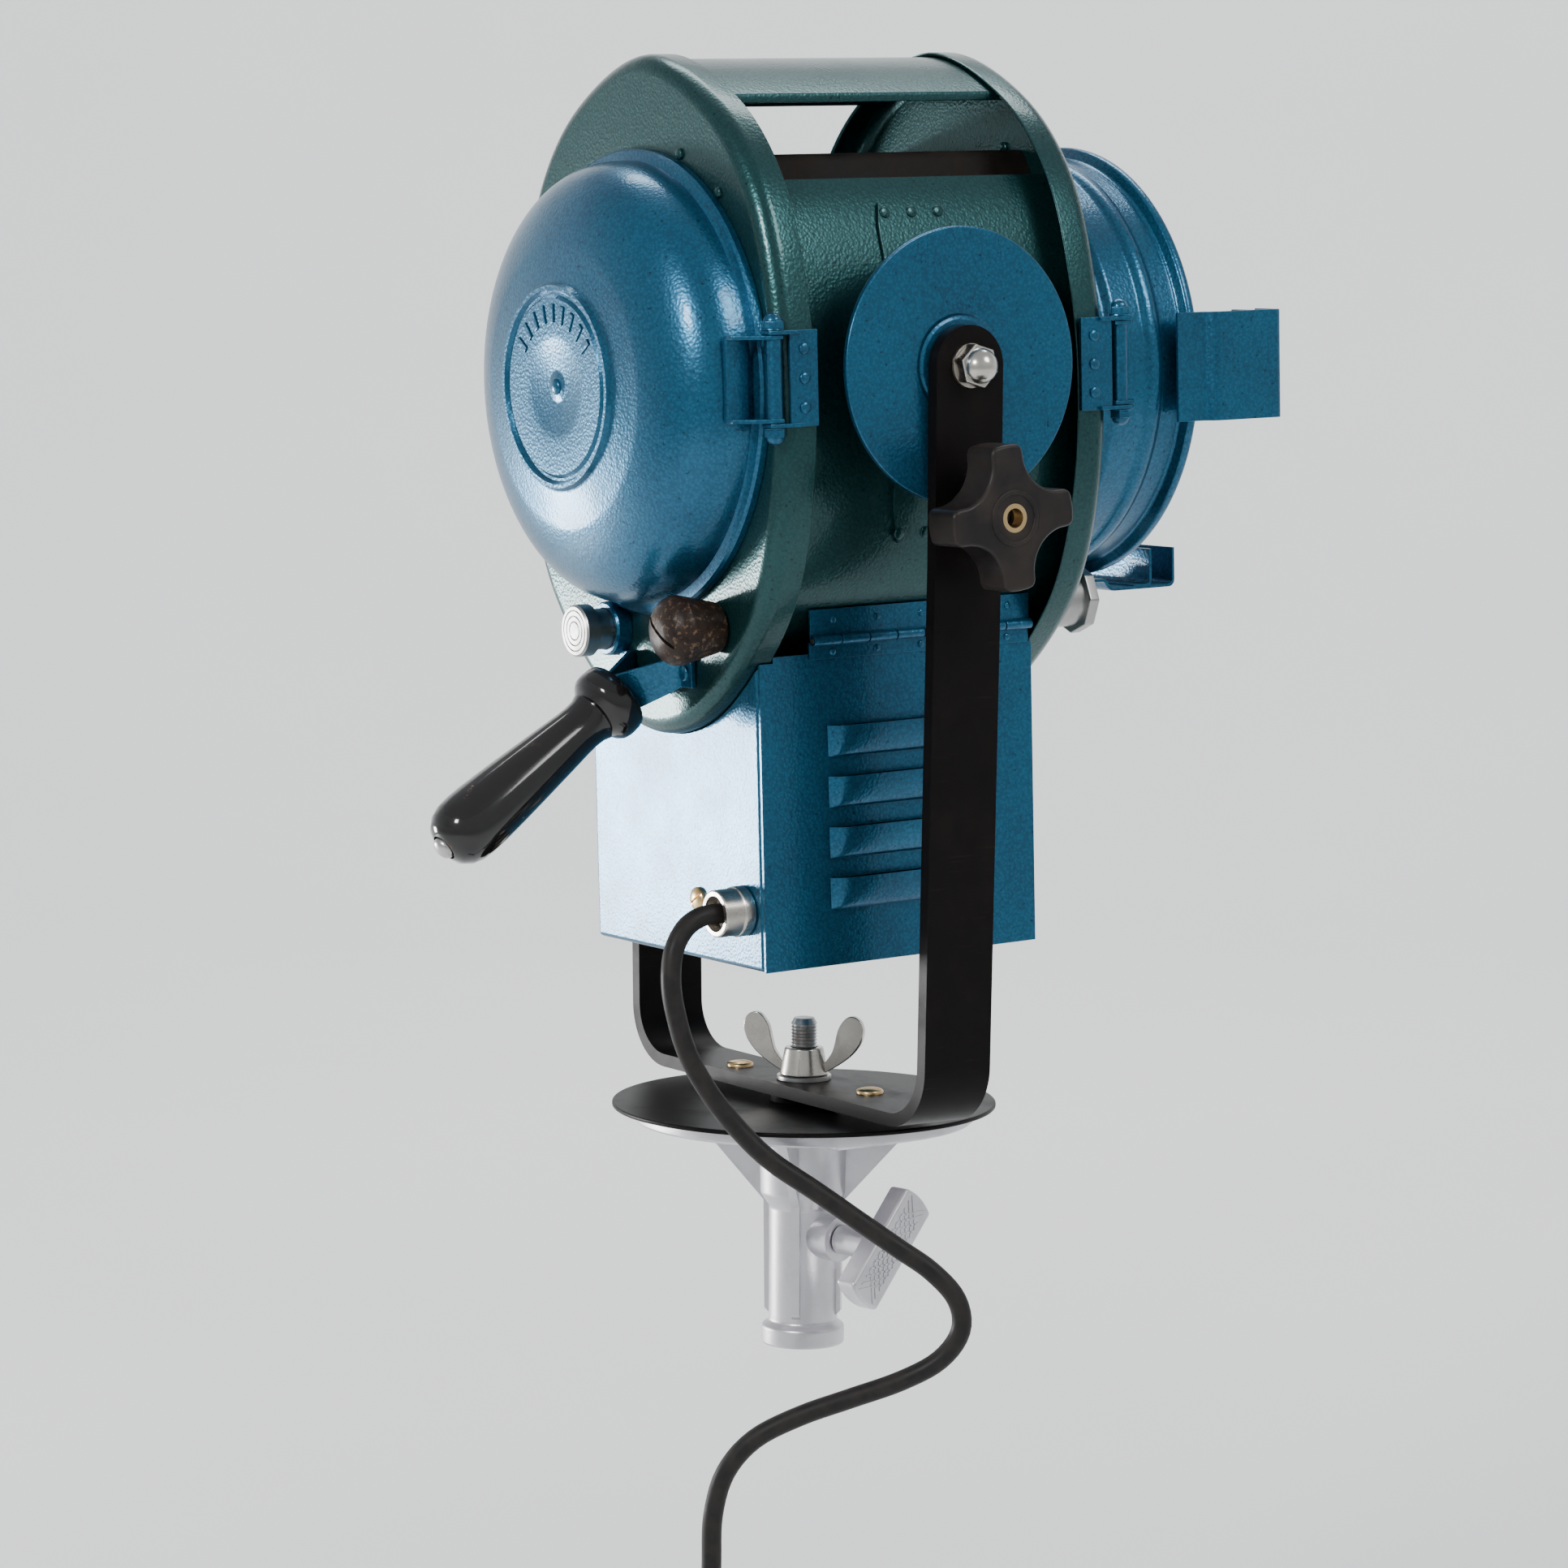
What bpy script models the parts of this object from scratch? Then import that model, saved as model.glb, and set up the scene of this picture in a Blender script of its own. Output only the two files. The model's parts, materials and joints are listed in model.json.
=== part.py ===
"""Studio fresnel spotlight in its yoke, with the stand socket, the mains lead and the plug.

World frame in metres: +Z up, the lens faces -Y, the rear cover faces +Y, and the tilt clamp and the
door hinges are on the -X side. The origin is the centre of the stand socket's mouth.
The lamp head is modelled in its own frame, with its origin on the tilt axis.
"""

import math

import bmesh
import bpy
from mathutils import Matrix, Vector

# ---- driving dimensions, in metres -------------------------------------------------------------
GAP = 0.0003  # clearance between pieces that touch
SHEET = 0.0016  # pressed steel sheet

SOCKET_TOP = 0.110  # the casting's upper face, above the socket mouth
SOCKET_BORE = 0.0112
LIP_R = 0.0190  # rolled lip round the socket mouth
FLANGE_R = 0.078
STUD_R = 0.006
STUD_TOP = 0.151
FRICTION_DISC_R = 0.088
FRICTION_DISC_T = 0.0025

BAR_W = 0.035  # the yoke's flat bar
BAR_T = 0.006
YOKE_BASE_Z = 0.1164
YOKE_HALF_BASE = 0.1215  # outer half width just above the bend
YOKE_HALF_TOP = 0.1265  # outer half width at the tilt axis
YOKE_BEND = 0.028
PIVOT_Z = 0.4509
HEAD_TILT = math.radians(-1.8)  # the lens points slightly upwards

LENS_Z = -0.0066  # the optical axis, below the tilt axis
OUTLINE = (  # half widths and heights of the pear-shaped end plates, from the top down
    (0.0, 0.137), (0.055, 0.117), (0.090, 0.081), (0.107, 0.030), (0.111, -0.025),
    (0.102, -0.077), (0.082, -0.115), (0.041, -0.151), (0.0, -0.163),
)
BODY_INSET = 0.014  # the body sheet, inside that outline
BODY_TOP = 0.081  # the body sheet stops here and leaves the chimney open
END_Y = 0.087  # flat face of both end plates
RIM_Y = 0.069  # free edge of their rims
END_BEND = 0.008
PORT_R = 0.090  # round openings behind the two doors

COVER_R = 0.101
COVER_DEPTH = 0.0465
HINGE_X = -0.110  # both door hinges
REAR_HINGE_Y = 0.090
FRONT_HINGE_Y = -0.093
HINGE_Z = -0.0025
HINGE_HALF = 0.0205

DOOR_BACK = -0.0895
DOOR_FRONT = -0.147
DOOR_R = 0.0945
DOOR_RIM_R = 0.0995
BRACKET_T = 0.0015

BOX_X = 0.071
BOX_REAR = 0.0755
BOX_FRONT = -0.0703
BOX_BOTTOM = -0.2635
BOX_TOP = -0.1235
PIANO_X = -0.0742
PIANO_Z = -0.1190
PIANO_R = 0.0024

DISC_R = 0.0598
DISC_X = 0.1202  # outer face of the tilt discs
DISC_T = 0.003
SOCKET_SCREW_Z = 0.0512
SOCKET_SCREW_R = 0.004
SOCKET_SCREW_TURN = math.radians(78)  # from -Y towards -X
CLAMP_DROP = 0.064  # the tilt clamp's screw, below the tilt axis

FOCUS_X = -0.056
FOCUS_Z = -0.1115
FOCUS_R = 0.0032
RAIL_Z = -0.1280  # the rails the lamp carriage slides on
RAIL_R = 0.004
SWITCH_X = 0.027
SWITCH_Z = -0.117
GLAND_X = -0.054
GLAND_Z = -0.2375
HANDLE_X = -0.008
HANDLE_SLOPE = math.radians(33.6)  # downwards from the rear plate
GRIP_L = 0.108

CORD_R = 0.0045
COIL_MID_R = 0.050
COIL_CENTRE = (-0.0605, 0.118, -0.1695)
CORD_ROUTE = (  # centreline from the gland down to the coil
    (-0.0540, 0.0800, 0.2108), (-0.0540, 0.0900, 0.2100), (-0.0542, 0.0985, 0.2055),
    (-0.0552, 0.1050, 0.1960), (-0.0570, 0.1075, 0.1830), (-0.0585, 0.1060, 0.1690),
    (-0.0605, 0.1010, 0.1510), (-0.0645, 0.0925, 0.1340), (-0.0700, 0.0815, 0.1180),
    (-0.0780, 0.0690, 0.1035), (-0.0870, 0.0510, 0.0895), (-0.0960, 0.0338, 0.0757),
    (-0.1045, 0.0195, 0.0640), (-0.1130, 0.0070, 0.0535), (-0.1195, -0.0020, 0.0410),
    (-0.1205, -0.0035, 0.0270), (-0.1155, 0.0040, 0.0140), (-0.1060, 0.0180, 0.0045),
    (-0.0940, 0.0370, -0.0035), (-0.0820, 0.0560, -0.0115), (-0.0710, 0.0725, -0.0220),
    (-0.0640, 0.0830, -0.0370), (-0.0610, 0.0875, -0.0560), (-0.0605, 0.0880, -0.0760),
    (-0.0605, 0.0878, -0.0920), (-0.0605, 0.0858, -0.1040), (-0.0605, 0.0815, -0.1150),
)

# ---- finishes: name, colour, roughness, metallic -----------------------------------------------
FINISHES = {
    "hammer_blue": ((0.02, 0.13, 0.24), 0.35, 0.5),
    "hammer_green": ((0.025, 0.09, 0.095), 0.4, 0.5),
    "satin_black": ((0.015, 0.013, 0.012), 0.5, 0.0),
    "cast_aluminium": ((0.75, 0.75, 0.74), 0.35, 1.0),
    "nickel": ((0.55, 0.52, 0.47), 0.3, 1.0),
    "steel": ((0.5, 0.5, 0.5), 0.35, 1.0),
    "brass": ((0.6, 0.42, 0.2), 0.35, 1.0),
    "soot_black": ((0.02, 0.018, 0.016), 0.8, 0.0),
    "black_wood": ((0.01, 0.009, 0.009), 0.12, 0.0),
    "bakelite": ((0.07, 0.035, 0.02), 0.45, 0.0),
    "black_plastic": ((0.015, 0.012, 0.012), 0.4, 0.0),
    "grey_alloy": ((0.35, 0.35, 0.34), 0.45, 0.9),
    "glass": ((0.85, 0.9, 0.9), 0.05, 0.0),
    "mirror": ((0.85, 0.85, 0.85), 0.1, 1.0),
    "ceramic": ((0.8, 0.78, 0.72), 0.4, 0.0),
    "rubber": ((0.015, 0.015, 0.016), 0.55, 0.0),
}


# ---- scene, finishes and placing ---------------------------------------------------------------
def clear_scene():
    for obj in list(bpy.data.objects):
        bpy.data.objects.remove(obj, do_unlink=True)


def new_collection(name):
    collection = bpy.data.collections.new(name)
    bpy.context.scene.collection.children.link(collection)
    return collection


def make_finish(name):
    colour, roughness, metallic = FINISHES[name]
    finish = bpy.data.materials.new(name)
    finish.use_nodes = True
    shader = finish.node_tree.nodes["Principled BSDF"]
    shader.inputs["Base Color"].default_value = (*colour, 1.0)
    shader.inputs["Roughness"].default_value = roughness
    shader.inputs["Metallic"].default_value = metallic
    return finish


clear_scene()
PARTS = new_collection("fresnel_spotlight")
CUTTERS = new_collection("cutters")
FINISH = {name: make_finish(name) for name in FINISHES}


def make_axis(name, location, parent=None, rotation_x=0.0):
    """An empty on a joint's axis. Its children are modelled in its parent's frame."""
    empty = bpy.data.objects.new(name, None)
    empty.empty_display_size = 0.02
    empty.location = location
    empty.rotation_euler = (rotation_x, 0.0, 0.0)
    empty.parent = parent
    PARTS.objects.link(empty)
    return empty


PAN = make_axis("pan_axis", (0.0, 0.0, 0.0))
HEAD = make_axis("tilt_axis", (0.0, 0.0, PIVOT_Z), PAN, HEAD_TILT)
REAR_DOOR = make_axis("rear_door_axis", (HINGE_X, REAR_HINGE_Y, HINGE_Z), HEAD)
FRONT_DOOR = make_axis("front_door_axis", (HINGE_X, FRONT_HINGE_Y, HINGE_Z), HEAD)
FLAP = make_axis("flap_axis", (PIANO_X, 0.0, PIANO_Z), HEAD)
FOCUS = make_axis("focus_axis", (FOCUS_X, 0.0, FOCUS_Z), HEAD)
CARRIAGE = make_axis("carriage_axis", (0.0, 0.0, RAIL_Z), HEAD)
SWITCH = make_axis("switch_axis", (SWITCH_X, END_Y, SWITCH_Z), HEAD)
CLAMP = make_axis("tilt_clamp_axis", (-YOKE_HALF_TOP, 0.0, PIVOT_Z - CLAMP_DROP), PAN)
WING = make_axis("wing_nut_axis", (0.0, 0.0, STUD_TOP), PAN)
SOCKET_SCREW = make_axis("socket_screw_axis", (0.0, 0.0, SOCKET_SCREW_Z))
OWN_FRAME = (PAN, HEAD)  # pieces under these are modelled in the axis's own frame


def register(obj, finish, axis):
    """Link a piece under its axis. Without a finish it is a cutter or a piece to be joined on."""
    if finish is None:
        CUTTERS.objects.link(obj)
        obj.hide_render = True
        obj.display_type = "WIRE"
    else:
        PARTS.objects.link(obj)
        obj.data.materials.append(FINISH[finish])
    if axis is not None:
        obj.parent = axis
        if axis not in OWN_FRAME:
            obj.location -= axis.location
    return obj


def from_bmesh(name, bm, finish, axis, smooth=math.radians(35)):
    mesh = bpy.data.meshes.new(name)
    bmesh.ops.recalc_face_normals(bm, faces=bm.faces)
    bm.to_mesh(mesh)
    bm.free()
    mesh.shade_smooth()
    mesh.set_sharp_from_angle(angle=smooth)
    return register(bpy.data.objects.new(name, mesh), finish, axis)


# ---- shapes ------------------------------------------------------------------------------------
def block(name, low, high, finish=None, axis=None, bevel=0.0):
    bm = bmesh.new()
    size = Vector(high) - Vector(low)
    centre = (Vector(high) + Vector(low)) / 2
    bmesh.ops.create_cube(bm, size=1.0, matrix=Matrix.Translation(centre) @ Matrix.Diagonal((*size, 1.0)))
    obj = from_bmesh(name, bm, finish, axis)
    if bevel:
        rounding = obj.modifiers.new("rounding", "BEVEL")
        rounding.width = bevel
        rounding.segments = 2
    return obj


def rod(name, start, end, radius, finish=None, axis=None, sides=16, end_radius=None):
    """A capped cylinder or cone between two points."""
    start, end = Vector(start), Vector(end)
    turn = (end - start).to_track_quat("Z", "Y").to_matrix().to_4x4()
    bm = bmesh.new()
    bmesh.ops.create_cone(
        bm, cap_ends=True, segments=sides, radius1=radius,
        radius2=radius if end_radius is None else end_radius, depth=(end - start).length,
        matrix=Matrix.Translation((start + end) / 2) @ turn)
    return from_bmesh(name, bm, finish, axis)


def turned(name, profile, origin, direction, finish=None, axis=None, steps=32, closed=False, thickness=0.0):
    """A profile of (radius, height) points, outer side first from the top down, screwed round."""
    mesh = bpy.data.meshes.new(name)
    edges = [(i, i + 1) for i in range(len(profile) - 1)]
    if closed:
        edges.append((len(profile) - 1, 0))
    mesh.from_pydata([(radius, 0.0, height) for radius, height in profile], edges, [])
    obj = bpy.data.objects.new(name, mesh)
    screw = obj.modifiers.new("turn", "SCREW")
    screw.steps = steps
    screw.render_steps = steps
    screw.use_merge_vertices = True
    screw.merge_threshold = 0.00001
    screw.use_smooth_shade = True
    if thickness:
        add_thickness(obj, thickness)
    obj.location = origin
    obj.rotation_euler = Vector(direction).to_track_quat("Z", "Y").to_euler()
    return register(obj, finish, axis)


def add_thickness(obj, thickness, offset=-1.0):
    solidify = obj.modifiers.new("sheet", "SOLIDIFY")
    solidify.thickness = thickness
    solidify.offset = offset
    solidify.use_even_offset = True


def sheet(name, rows, thickness, finish=None, axis=None, closed=False, offset=-1.0):
    """A sheet through rows of points, thickened on the inner side of its faces."""
    bm = bmesh.new()
    grid = [[bm.verts.new(point) for point in row] for row in rows]
    count = len(rows[0])
    for lower, upper in zip(grid, grid[1:]):
        for i in range(count if closed else count - 1):
            j = (i + 1) % count
            bm.faces.new((lower[i], lower[j], upper[j], upper[i]))
    mesh = bpy.data.meshes.new(name)
    bm.to_mesh(mesh)
    bm.free()
    mesh.shade_smooth()
    mesh.set_sharp_from_angle(angle=math.radians(40))
    obj = register(bpy.data.objects.new(name, mesh), finish, axis)
    add_thickness(obj, thickness, offset)
    return obj


def prism(name, outline, start, travel, finish=None, axis=None):
    """A flat outline of 3-D points, moved by start and extruded along travel."""
    bm = bmesh.new()
    face = bm.faces.new([bm.verts.new(Vector(point) + Vector(start)) for point in outline])
    extruded = bmesh.ops.extrude_face_region(bm, geom=[face])
    moved = [item for item in extruded["geom"] if isinstance(item, bmesh.types.BMVert)]
    bmesh.ops.translate(bm, verts=moved, vec=travel)
    return from_bmesh(name, bm, finish, axis)


def combine(target, operation, others):
    for other in others:
        boolean = target.modifiers.new(operation.lower(), "BOOLEAN")
        boolean.operation = operation
        boolean.object = other
    return target


def cut(target, *cutters):
    return combine(target, "DIFFERENCE", cutters)


def join(target, *pieces):
    return combine(target, "UNION", pieces)


def spline_points(controls, per_span, closed):
    """Points on a Catmull-Rom curve through the control points."""
    count = len(controls)
    spans = count if closed else count - 1
    points = []
    for i in range(spans):
        index = [i - 1, i, i + 1, i + 2]
        if closed:
            before, first, second, after = (controls[k % count] for k in index)
        else:
            before, first, second, after = (controls[min(max(k, 0), count - 1)] for k in index)
        for step in range(per_span):
            t = step / per_span
            points.append(
                0.5 * (2 * first + (second - before) * t
                       + (2 * before - 5 * first + 4 * second - after) * t ** 2
                       + (3 * first - before - 3 * second + after) * t ** 3))
    if not closed:
        points.append(controls[-1].copy())
    return points


def pear(inset, per_span=3):
    """The end plates' outline as (x, z) vectors, clockwise from the top seen from -Y, moved inwards."""
    right = [Vector(point) for point in OUTLINE]
    left = [Vector((-point.x, point.y)) for point in right[-2:0:-1]]
    points = spline_points(right + left, per_span, True)
    moved = []
    for i, point in enumerate(points):
        along = (points[(i + 1) % len(points)] - points[i - 1]).normalized()
        moved.append(point + Vector((-along.y, along.x)) * -inset)
    return moved


def at_y(points, y):
    return [(point.x, y, point.y) for point in points]


# ---- stand socket and yoke ---------------------------------------------------------------------
def socket_screw_direction():
    return Vector((-math.sin(SOCKET_SCREW_TURN), -math.cos(SOCKET_SCREW_TURN), 0.0))


def build_socket():
    top, lip, column = SOCKET_TOP, 0.0085, 0.0158
    profile = [
        (0.0, top), (FLANGE_R, top), (FLANGE_R, top - 0.0055), (0.030, top - 0.009),
        (0.0205, top - 0.014), (0.0198, top - 0.040), (column, top - 0.046), (column, lip + 0.002),
        (LIP_R, lip), (LIP_R, 0.0), (0.0, 0.0),
    ]
    casting = turned("socket_casting", profile, (0, 0, 0), (0, 0, 1), "cast_aluminium", steps=28)
    lug_top = top - 0.0052
    lugs = block("lugs", (-0.052, -0.0175, lug_top - 0.0065), (0.052, 0.0175, lug_top))
    middle = Vector((0, 0, SOCKET_SCREW_Z))
    out = socket_screw_direction()
    boss = rod("boss", middle, middle + out * 0.024, 0.0105, sides=20)
    screw_hole = rod("screw_hole", middle, middle + out * 0.03, SOCKET_SCREW_R + GAP)
    bore = rod("bore", (0, 0, -0.01), (0, 0, 0.086), SOCKET_BORE, sides=24)
    stud_hole = rod("stud_hole", (0, 0, 0.094), (0, 0, top + 0.01), STUD_R + GAP)
    join(casting, lugs, boss)
    cut(casting, bore, stud_hole, screw_hole)
    rod("socket_stud", (0, 0, 0.0943), (0, 0, STUD_TOP), STUD_R, "steel")


def build_socket_screw():
    """The T-shaped screw that clamps the socket on its stand."""
    out = socket_screw_direction()
    middle = Vector((0, 0, SOCKET_SCREW_Z))
    screw = rod("socket_clamp_screw", middle + out * 0.0125, middle + out * 0.046, SOCKET_SCREW_R,
                "cast_aluminium", SOCKET_SCREW)
    collar = rod("screw_collar", middle + out * 0.0245, middle + out * 0.046, 0.0068, axis=SOCKET_SCREW)
    lean = math.radians(42)  # of the bar, from upright
    across = Vector((-out.y * math.sin(lean), out.x * math.sin(lean), math.cos(lean)))
    wide = across.cross(out)
    half_long, half_wide, thick = 0.0285, 0.0105, 0.011
    outline = [across * half_long * a + wide * half_wide * b for a, b in ((1, -1), (1, 1), (-1, 1), (-1, -1))]
    bar = prism("screw_bar", outline, middle + out * 0.0455, out * thick, axis=SOCKET_SCREW)
    join(screw, collar, bar)


def yoke_stations():
    """Stations along the bar: (point in XZ, half width), from one rounded end to the other."""
    half = BAR_W / 2
    middle_z = YOKE_BASE_Z
    right = []
    for step in range(6):  # rounded top, centred on the tilt axis
        angle = math.radians(82 - step * 82 / 5)
        right.append((Vector((YOKE_HALF_TOP, PIVOT_Z + half * math.sin(angle))), half * math.cos(angle)))
    right.append((Vector((YOKE_HALF_TOP, PIVOT_Z - 0.085)), half))
    for step in range(6):
        angle = math.radians(step * 90 / 5)
        centre = Vector((YOKE_HALF_BASE - YOKE_BEND, middle_z + YOKE_BEND))
        right.append((centre + Vector((math.cos(angle), -math.sin(angle))) * YOKE_BEND, half))
    left = [(Vector((-point.x, point.y)), width) for point, width in reversed(right)]
    return right + left


def build_yoke():
    stations = yoke_stations()
    rows = [[(point.x, side * width, point.y) for point, width in stations] for side in (-1, 1)]
    yoke = sheet("yoke", rows, BAR_T, "satin_black", PAN)
    holes = [rod("yoke_stud_hole", (0, 0, 0.1), (0, 0, 0.14), STUD_R + GAP)]
    for side in (-1, 1):
        inner, outer = side * 0.11, side * 0.14
        holes.append(rod("yoke_pivot_hole", (inner, 0, PIVOT_Z), (outer, 0, PIVOT_Z), 0.005 + GAP))
    clamp_z = PIVOT_Z - CLAMP_DROP
    holes.append(rod("yoke_clamp_hole", (-0.11, 0, clamp_z), (-0.14, 0, clamp_z), 0.004 + GAP))
    cut(yoke, *holes)
    ring("friction_disc", FRICTION_DISC_R, STUD_R + GAP, SOCKET_TOP + GAP, FRICTION_DISC_T,
         "satin_black", PAN, 40)
    spacer_z = SOCKET_TOP + FRICTION_DISC_T + 2 * GAP
    ring("friction_spacer", 0.016, STUD_R + GAP, spacer_z, YOKE_BASE_Z - GAP - spacer_z,
         "satin_black", PAN, 24)
    washer_z = YOKE_BASE_Z + BAR_T + GAP
    ring("stud_washer", 0.0125, STUD_R + GAP, washer_z, 0.002, "steel", PAN, 24)
    build_wing_nut(washer_z + 0.002 + GAP)


def ring(name, outer, inner, low, height, finish, axis, steps):
    profile = [(outer, low + height), (outer, low), (inner, low), (inner, low + height)]
    return turned(name, profile, (0, 0, 0), (0, 0, 1), finish, axis, steps, closed=True)


def build_wing_nut(low):
    height = 0.0125
    hub = rod("wing_nut", (0, 0, low), (0, 0, low + height), 0.0112, "nickel", WING, end_radius=0.0090)
    lean = math.radians(38)  # the wings' plane, from the X axis
    direction = Vector((math.cos(lean), math.sin(lean), 0))
    wings = []
    for side in (-1, 1):
        controls = [Vector(point) for point in (
            (0.006, 0.002), (0.014, 0.010), (0.0170, 0.021), (0.0220, 0.0265), (0.0275, 0.0245),
            (0.0285, 0.017), (0.0225, 0.008), (0.011, 0.000))]
        outline = [direction * side * point.x + Vector((0, 0, low + 0.001 + point.y))
                   for point in spline_points(controls, 2, True)]
        normal = direction.cross(Vector((0, 0, 1))) * 0.0035
        wings.append(prism("wing", outline, -normal / 2, normal, axis=WING))
    join(hub, *wings)
    cut(hub, rod("wing_nut_hole", (0, 0, low - 0.01), (0, 0, low + 0.03), STUD_R + GAP, axis=WING))


# ---- tilt joint --------------------------------------------------------------------------------
def build_pivot(side, label):
    inner_face = DISC_X - DISC_T
    disc_profile = [(DISC_R, DISC_X), (DISC_R, inner_face), (0.0053, inner_face), (0.0053, DISC_X)]
    turned("tilt_disc_" + label, disc_profile, (0, 0, 0), (side, 0, 0), "hammer_blue", HEAD, 40, closed=True)
    points = [p for p in pear(BODY_INSET - 0.0018) if p.x * side > 0 and -0.078 < p.y < 0.072]
    half = 0.019
    plate = sheet("pivot_bracket_" + label, [at_y(points, -half), at_y(points, half)], 0.0015,
                  "hammer_green", HEAD)
    surface = max(abs(p.x) for p in points) - 0.0012
    boss = rod("pivot_boss", (side * surface, 0, 0), (side * (inner_face - GAP), 0, 0), 0.014, axis=HEAD)
    hole = rod("pivot_hole", (side * 0.08, 0, 0), (side * 0.125, 0, 0), 0.0053, axis=HEAD)
    join(plate, boss)
    cut(plate, hole)
    face = YOKE_HALF_TOP + GAP
    rod("pivot_bolt_" + label, (side * 0.099, 0, PIVOT_Z), (side * (face + 0.0105), 0, PIVOT_Z), 0.005,
        "steel", PAN)
    build_acorn("acorn_nut_" + label, (side * face, 0, PIVOT_Z), (side, 0, 0), "nickel", PAN)


def build_acorn(name, start, direction, finish, axis):
    """A domed cap nut for a 10 mm bolt."""
    start, direction = Vector(start), Vector(direction)
    nut = rod(name, start, start + direction * 0.0075, 0.0098, finish, axis, sides=6)
    dome = [(0.0, 0.0145), (0.0035, 0.0140), (0.0062, 0.0122), (0.0077, 0.0095), (0.0078, 0.0070),
            (0.0, 0.0070)]
    join(nut, turned("acorn_dome", dome, start, direction, axis=axis, steps=20))
    cut(nut, rod("acorn_hole", start - direction * 0.005, start + direction * 0.011, 0.005 + GAP, axis=axis))


def knob_outline(lobe_r, scallop_at, scallop_r, per_lobe=10):
    """A four-lobed outline in a plane, as (a, b) pairs."""
    points = []
    for i in range(4 * per_lobe):
        angle = 2 * math.pi * i / (4 * per_lobe)
        from_scallop = (angle + math.pi / 2) % (math.pi / 2) - math.pi / 4
        reach = lobe_r
        inside = scallop_r ** 2 - (scallop_at * math.sin(from_scallop)) ** 2
        if inside > 0:
            reach = min(reach, scallop_at * math.cos(from_scallop) - math.sqrt(inside))
        points.append((reach * math.cos(angle), reach * math.sin(angle)))
    return points


def build_tilt_clamp():
    z = PIVOT_Z - CLAMP_DROP
    jaw_face = -(DISC_X - DISC_T - GAP)
    jaw = block("tilt_clamp_jaw", (jaw_face, -0.011, z - 0.012), (jaw_face + 0.005, 0.011, z + 0.021),
                "steel", PAN)
    join(jaw, rod("clamp_stud", (jaw_face + 0.003, 0, z), (-0.151, 0, z), 0.004, axis=PAN, sides=16))
    neck_start = -YOKE_HALF_TOP - GAP
    turn = math.radians(-8)
    outline = [(0, a * math.cos(turn) - b * math.sin(turn), a * math.sin(turn) + b * math.cos(turn))
               for a, b in knob_outline(0.0315, 0.0375, 0.0185)]
    knob = prism("tilt_clamp_knob", outline, (-0.140, 0, z), (-0.021, 0, 0), "black_plastic", CLAMP)
    join(knob, rod("knob_neck", (neck_start, 0, z), (-0.141, 0, z), 0.0115, axis=CLAMP))
    cut(knob, rod("knob_hole", (-0.12, 0, z), (-0.18, 0, z), 0.004 + GAP, axis=CLAMP, sides=16))


# ---- lamp housing ------------------------------------------------------------------------------
def port_circle(points, radius, y):
    """The round opening, with one point for each point of an outline."""
    centre = Vector((0.0, LENS_Z))
    ring_points = [centre + (point - centre).normalized() * radius for point in points]
    return at_y(ring_points, y)


def build_end_plate(name, side, holes):
    rows = [at_y(pear(0.0), side * RIM_Y)]
    flat_start = END_Y - END_BEND
    for angle in (0.0, math.pi / 4, math.pi / 2):
        inset = END_BEND * (1 - math.cos(angle))
        rows.append(at_y(pear(inset), side * (flat_start + END_BEND * math.sin(angle))))
    rows.append(port_circle(pear(END_BEND), PORT_R, side * END_Y))
    if side < 0:
        rows.reverse()
    plate = sheet(name, rows, SHEET, "hammer_green", HEAD, closed=True)
    return cut(plate, *holes)


def build_end_plates():
    y = END_Y
    focus_rear = rod("focus_hole_rear", (FOCUS_X, y - 0.01, FOCUS_Z), (FOCUS_X, y + 0.01, FOCUS_Z),
                     FOCUS_R + 0.0005, axis=HEAD)
    focus_front = rod("focus_hole_front", (FOCUS_X, -y - 0.01, FOCUS_Z), (FOCUS_X, 0.01 - y, FOCUS_Z),
                      FOCUS_R + 0.0005, axis=HEAD)
    switch_hole = rod("switch_hole", (SWITCH_X, y - 0.01, SWITCH_Z), (SWITCH_X, y + 0.01, SWITCH_Z),
                      0.0035, axis=HEAD)
    build_end_plate("rear_flange", 1, [focus_rear, switch_hole])
    build_end_plate("front_flange", -1, [focus_front])


def clipped_below(points, top):
    """The part of an outline below a height, with its two ends on that height."""
    kept = []
    count = len(points)
    for i, point in enumerate(points):
        after = points[(i + 1) % count]
        if point.y <= top:
            kept.append(point)
        if (point.y - top) * (after.y - top) < 0:
            kept.append(point.lerp(after, (top - point.y) / (after.y - point.y)))
    return kept


def build_body():
    points = clipped_below(pear(BODY_INSET), BODY_TOP)
    reach = END_Y - SHEET - GAP
    body = sheet("body_shell", [at_y(points, -reach), at_y(points, reach)], SHEET, "hammer_green", HEAD)
    cut(body, block("lamp_slot", (-0.034, -0.045, -0.17), (0.034, 0.045, -0.14), axis=HEAD))

    crown = [p for p in pear(0.0022) if p.y > 0.1 and abs(p.x) < 0.050]
    crown.sort(key=lambda p: p.x)
    edge = crown[-1]
    lip = Vector((edge.x, edge.y - 0.004))
    section = [Vector((-lip.x, lip.y))] + crown + [lip]
    end = RIM_Y + 0.009
    sheet("top_bridge", [at_y(section, -end), at_y(section, end)], SHEET, "hammer_green", HEAD)

    baffle = [Vector(point) for point in ((-0.064, 0.067), (-0.050, 0.092), (0.050, 0.092), (0.064, 0.067))]
    sheet("chimney_baffle", [at_y(baffle, -reach), at_y(baffle, reach)], 0.0012, "soot_black", HEAD)


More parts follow.
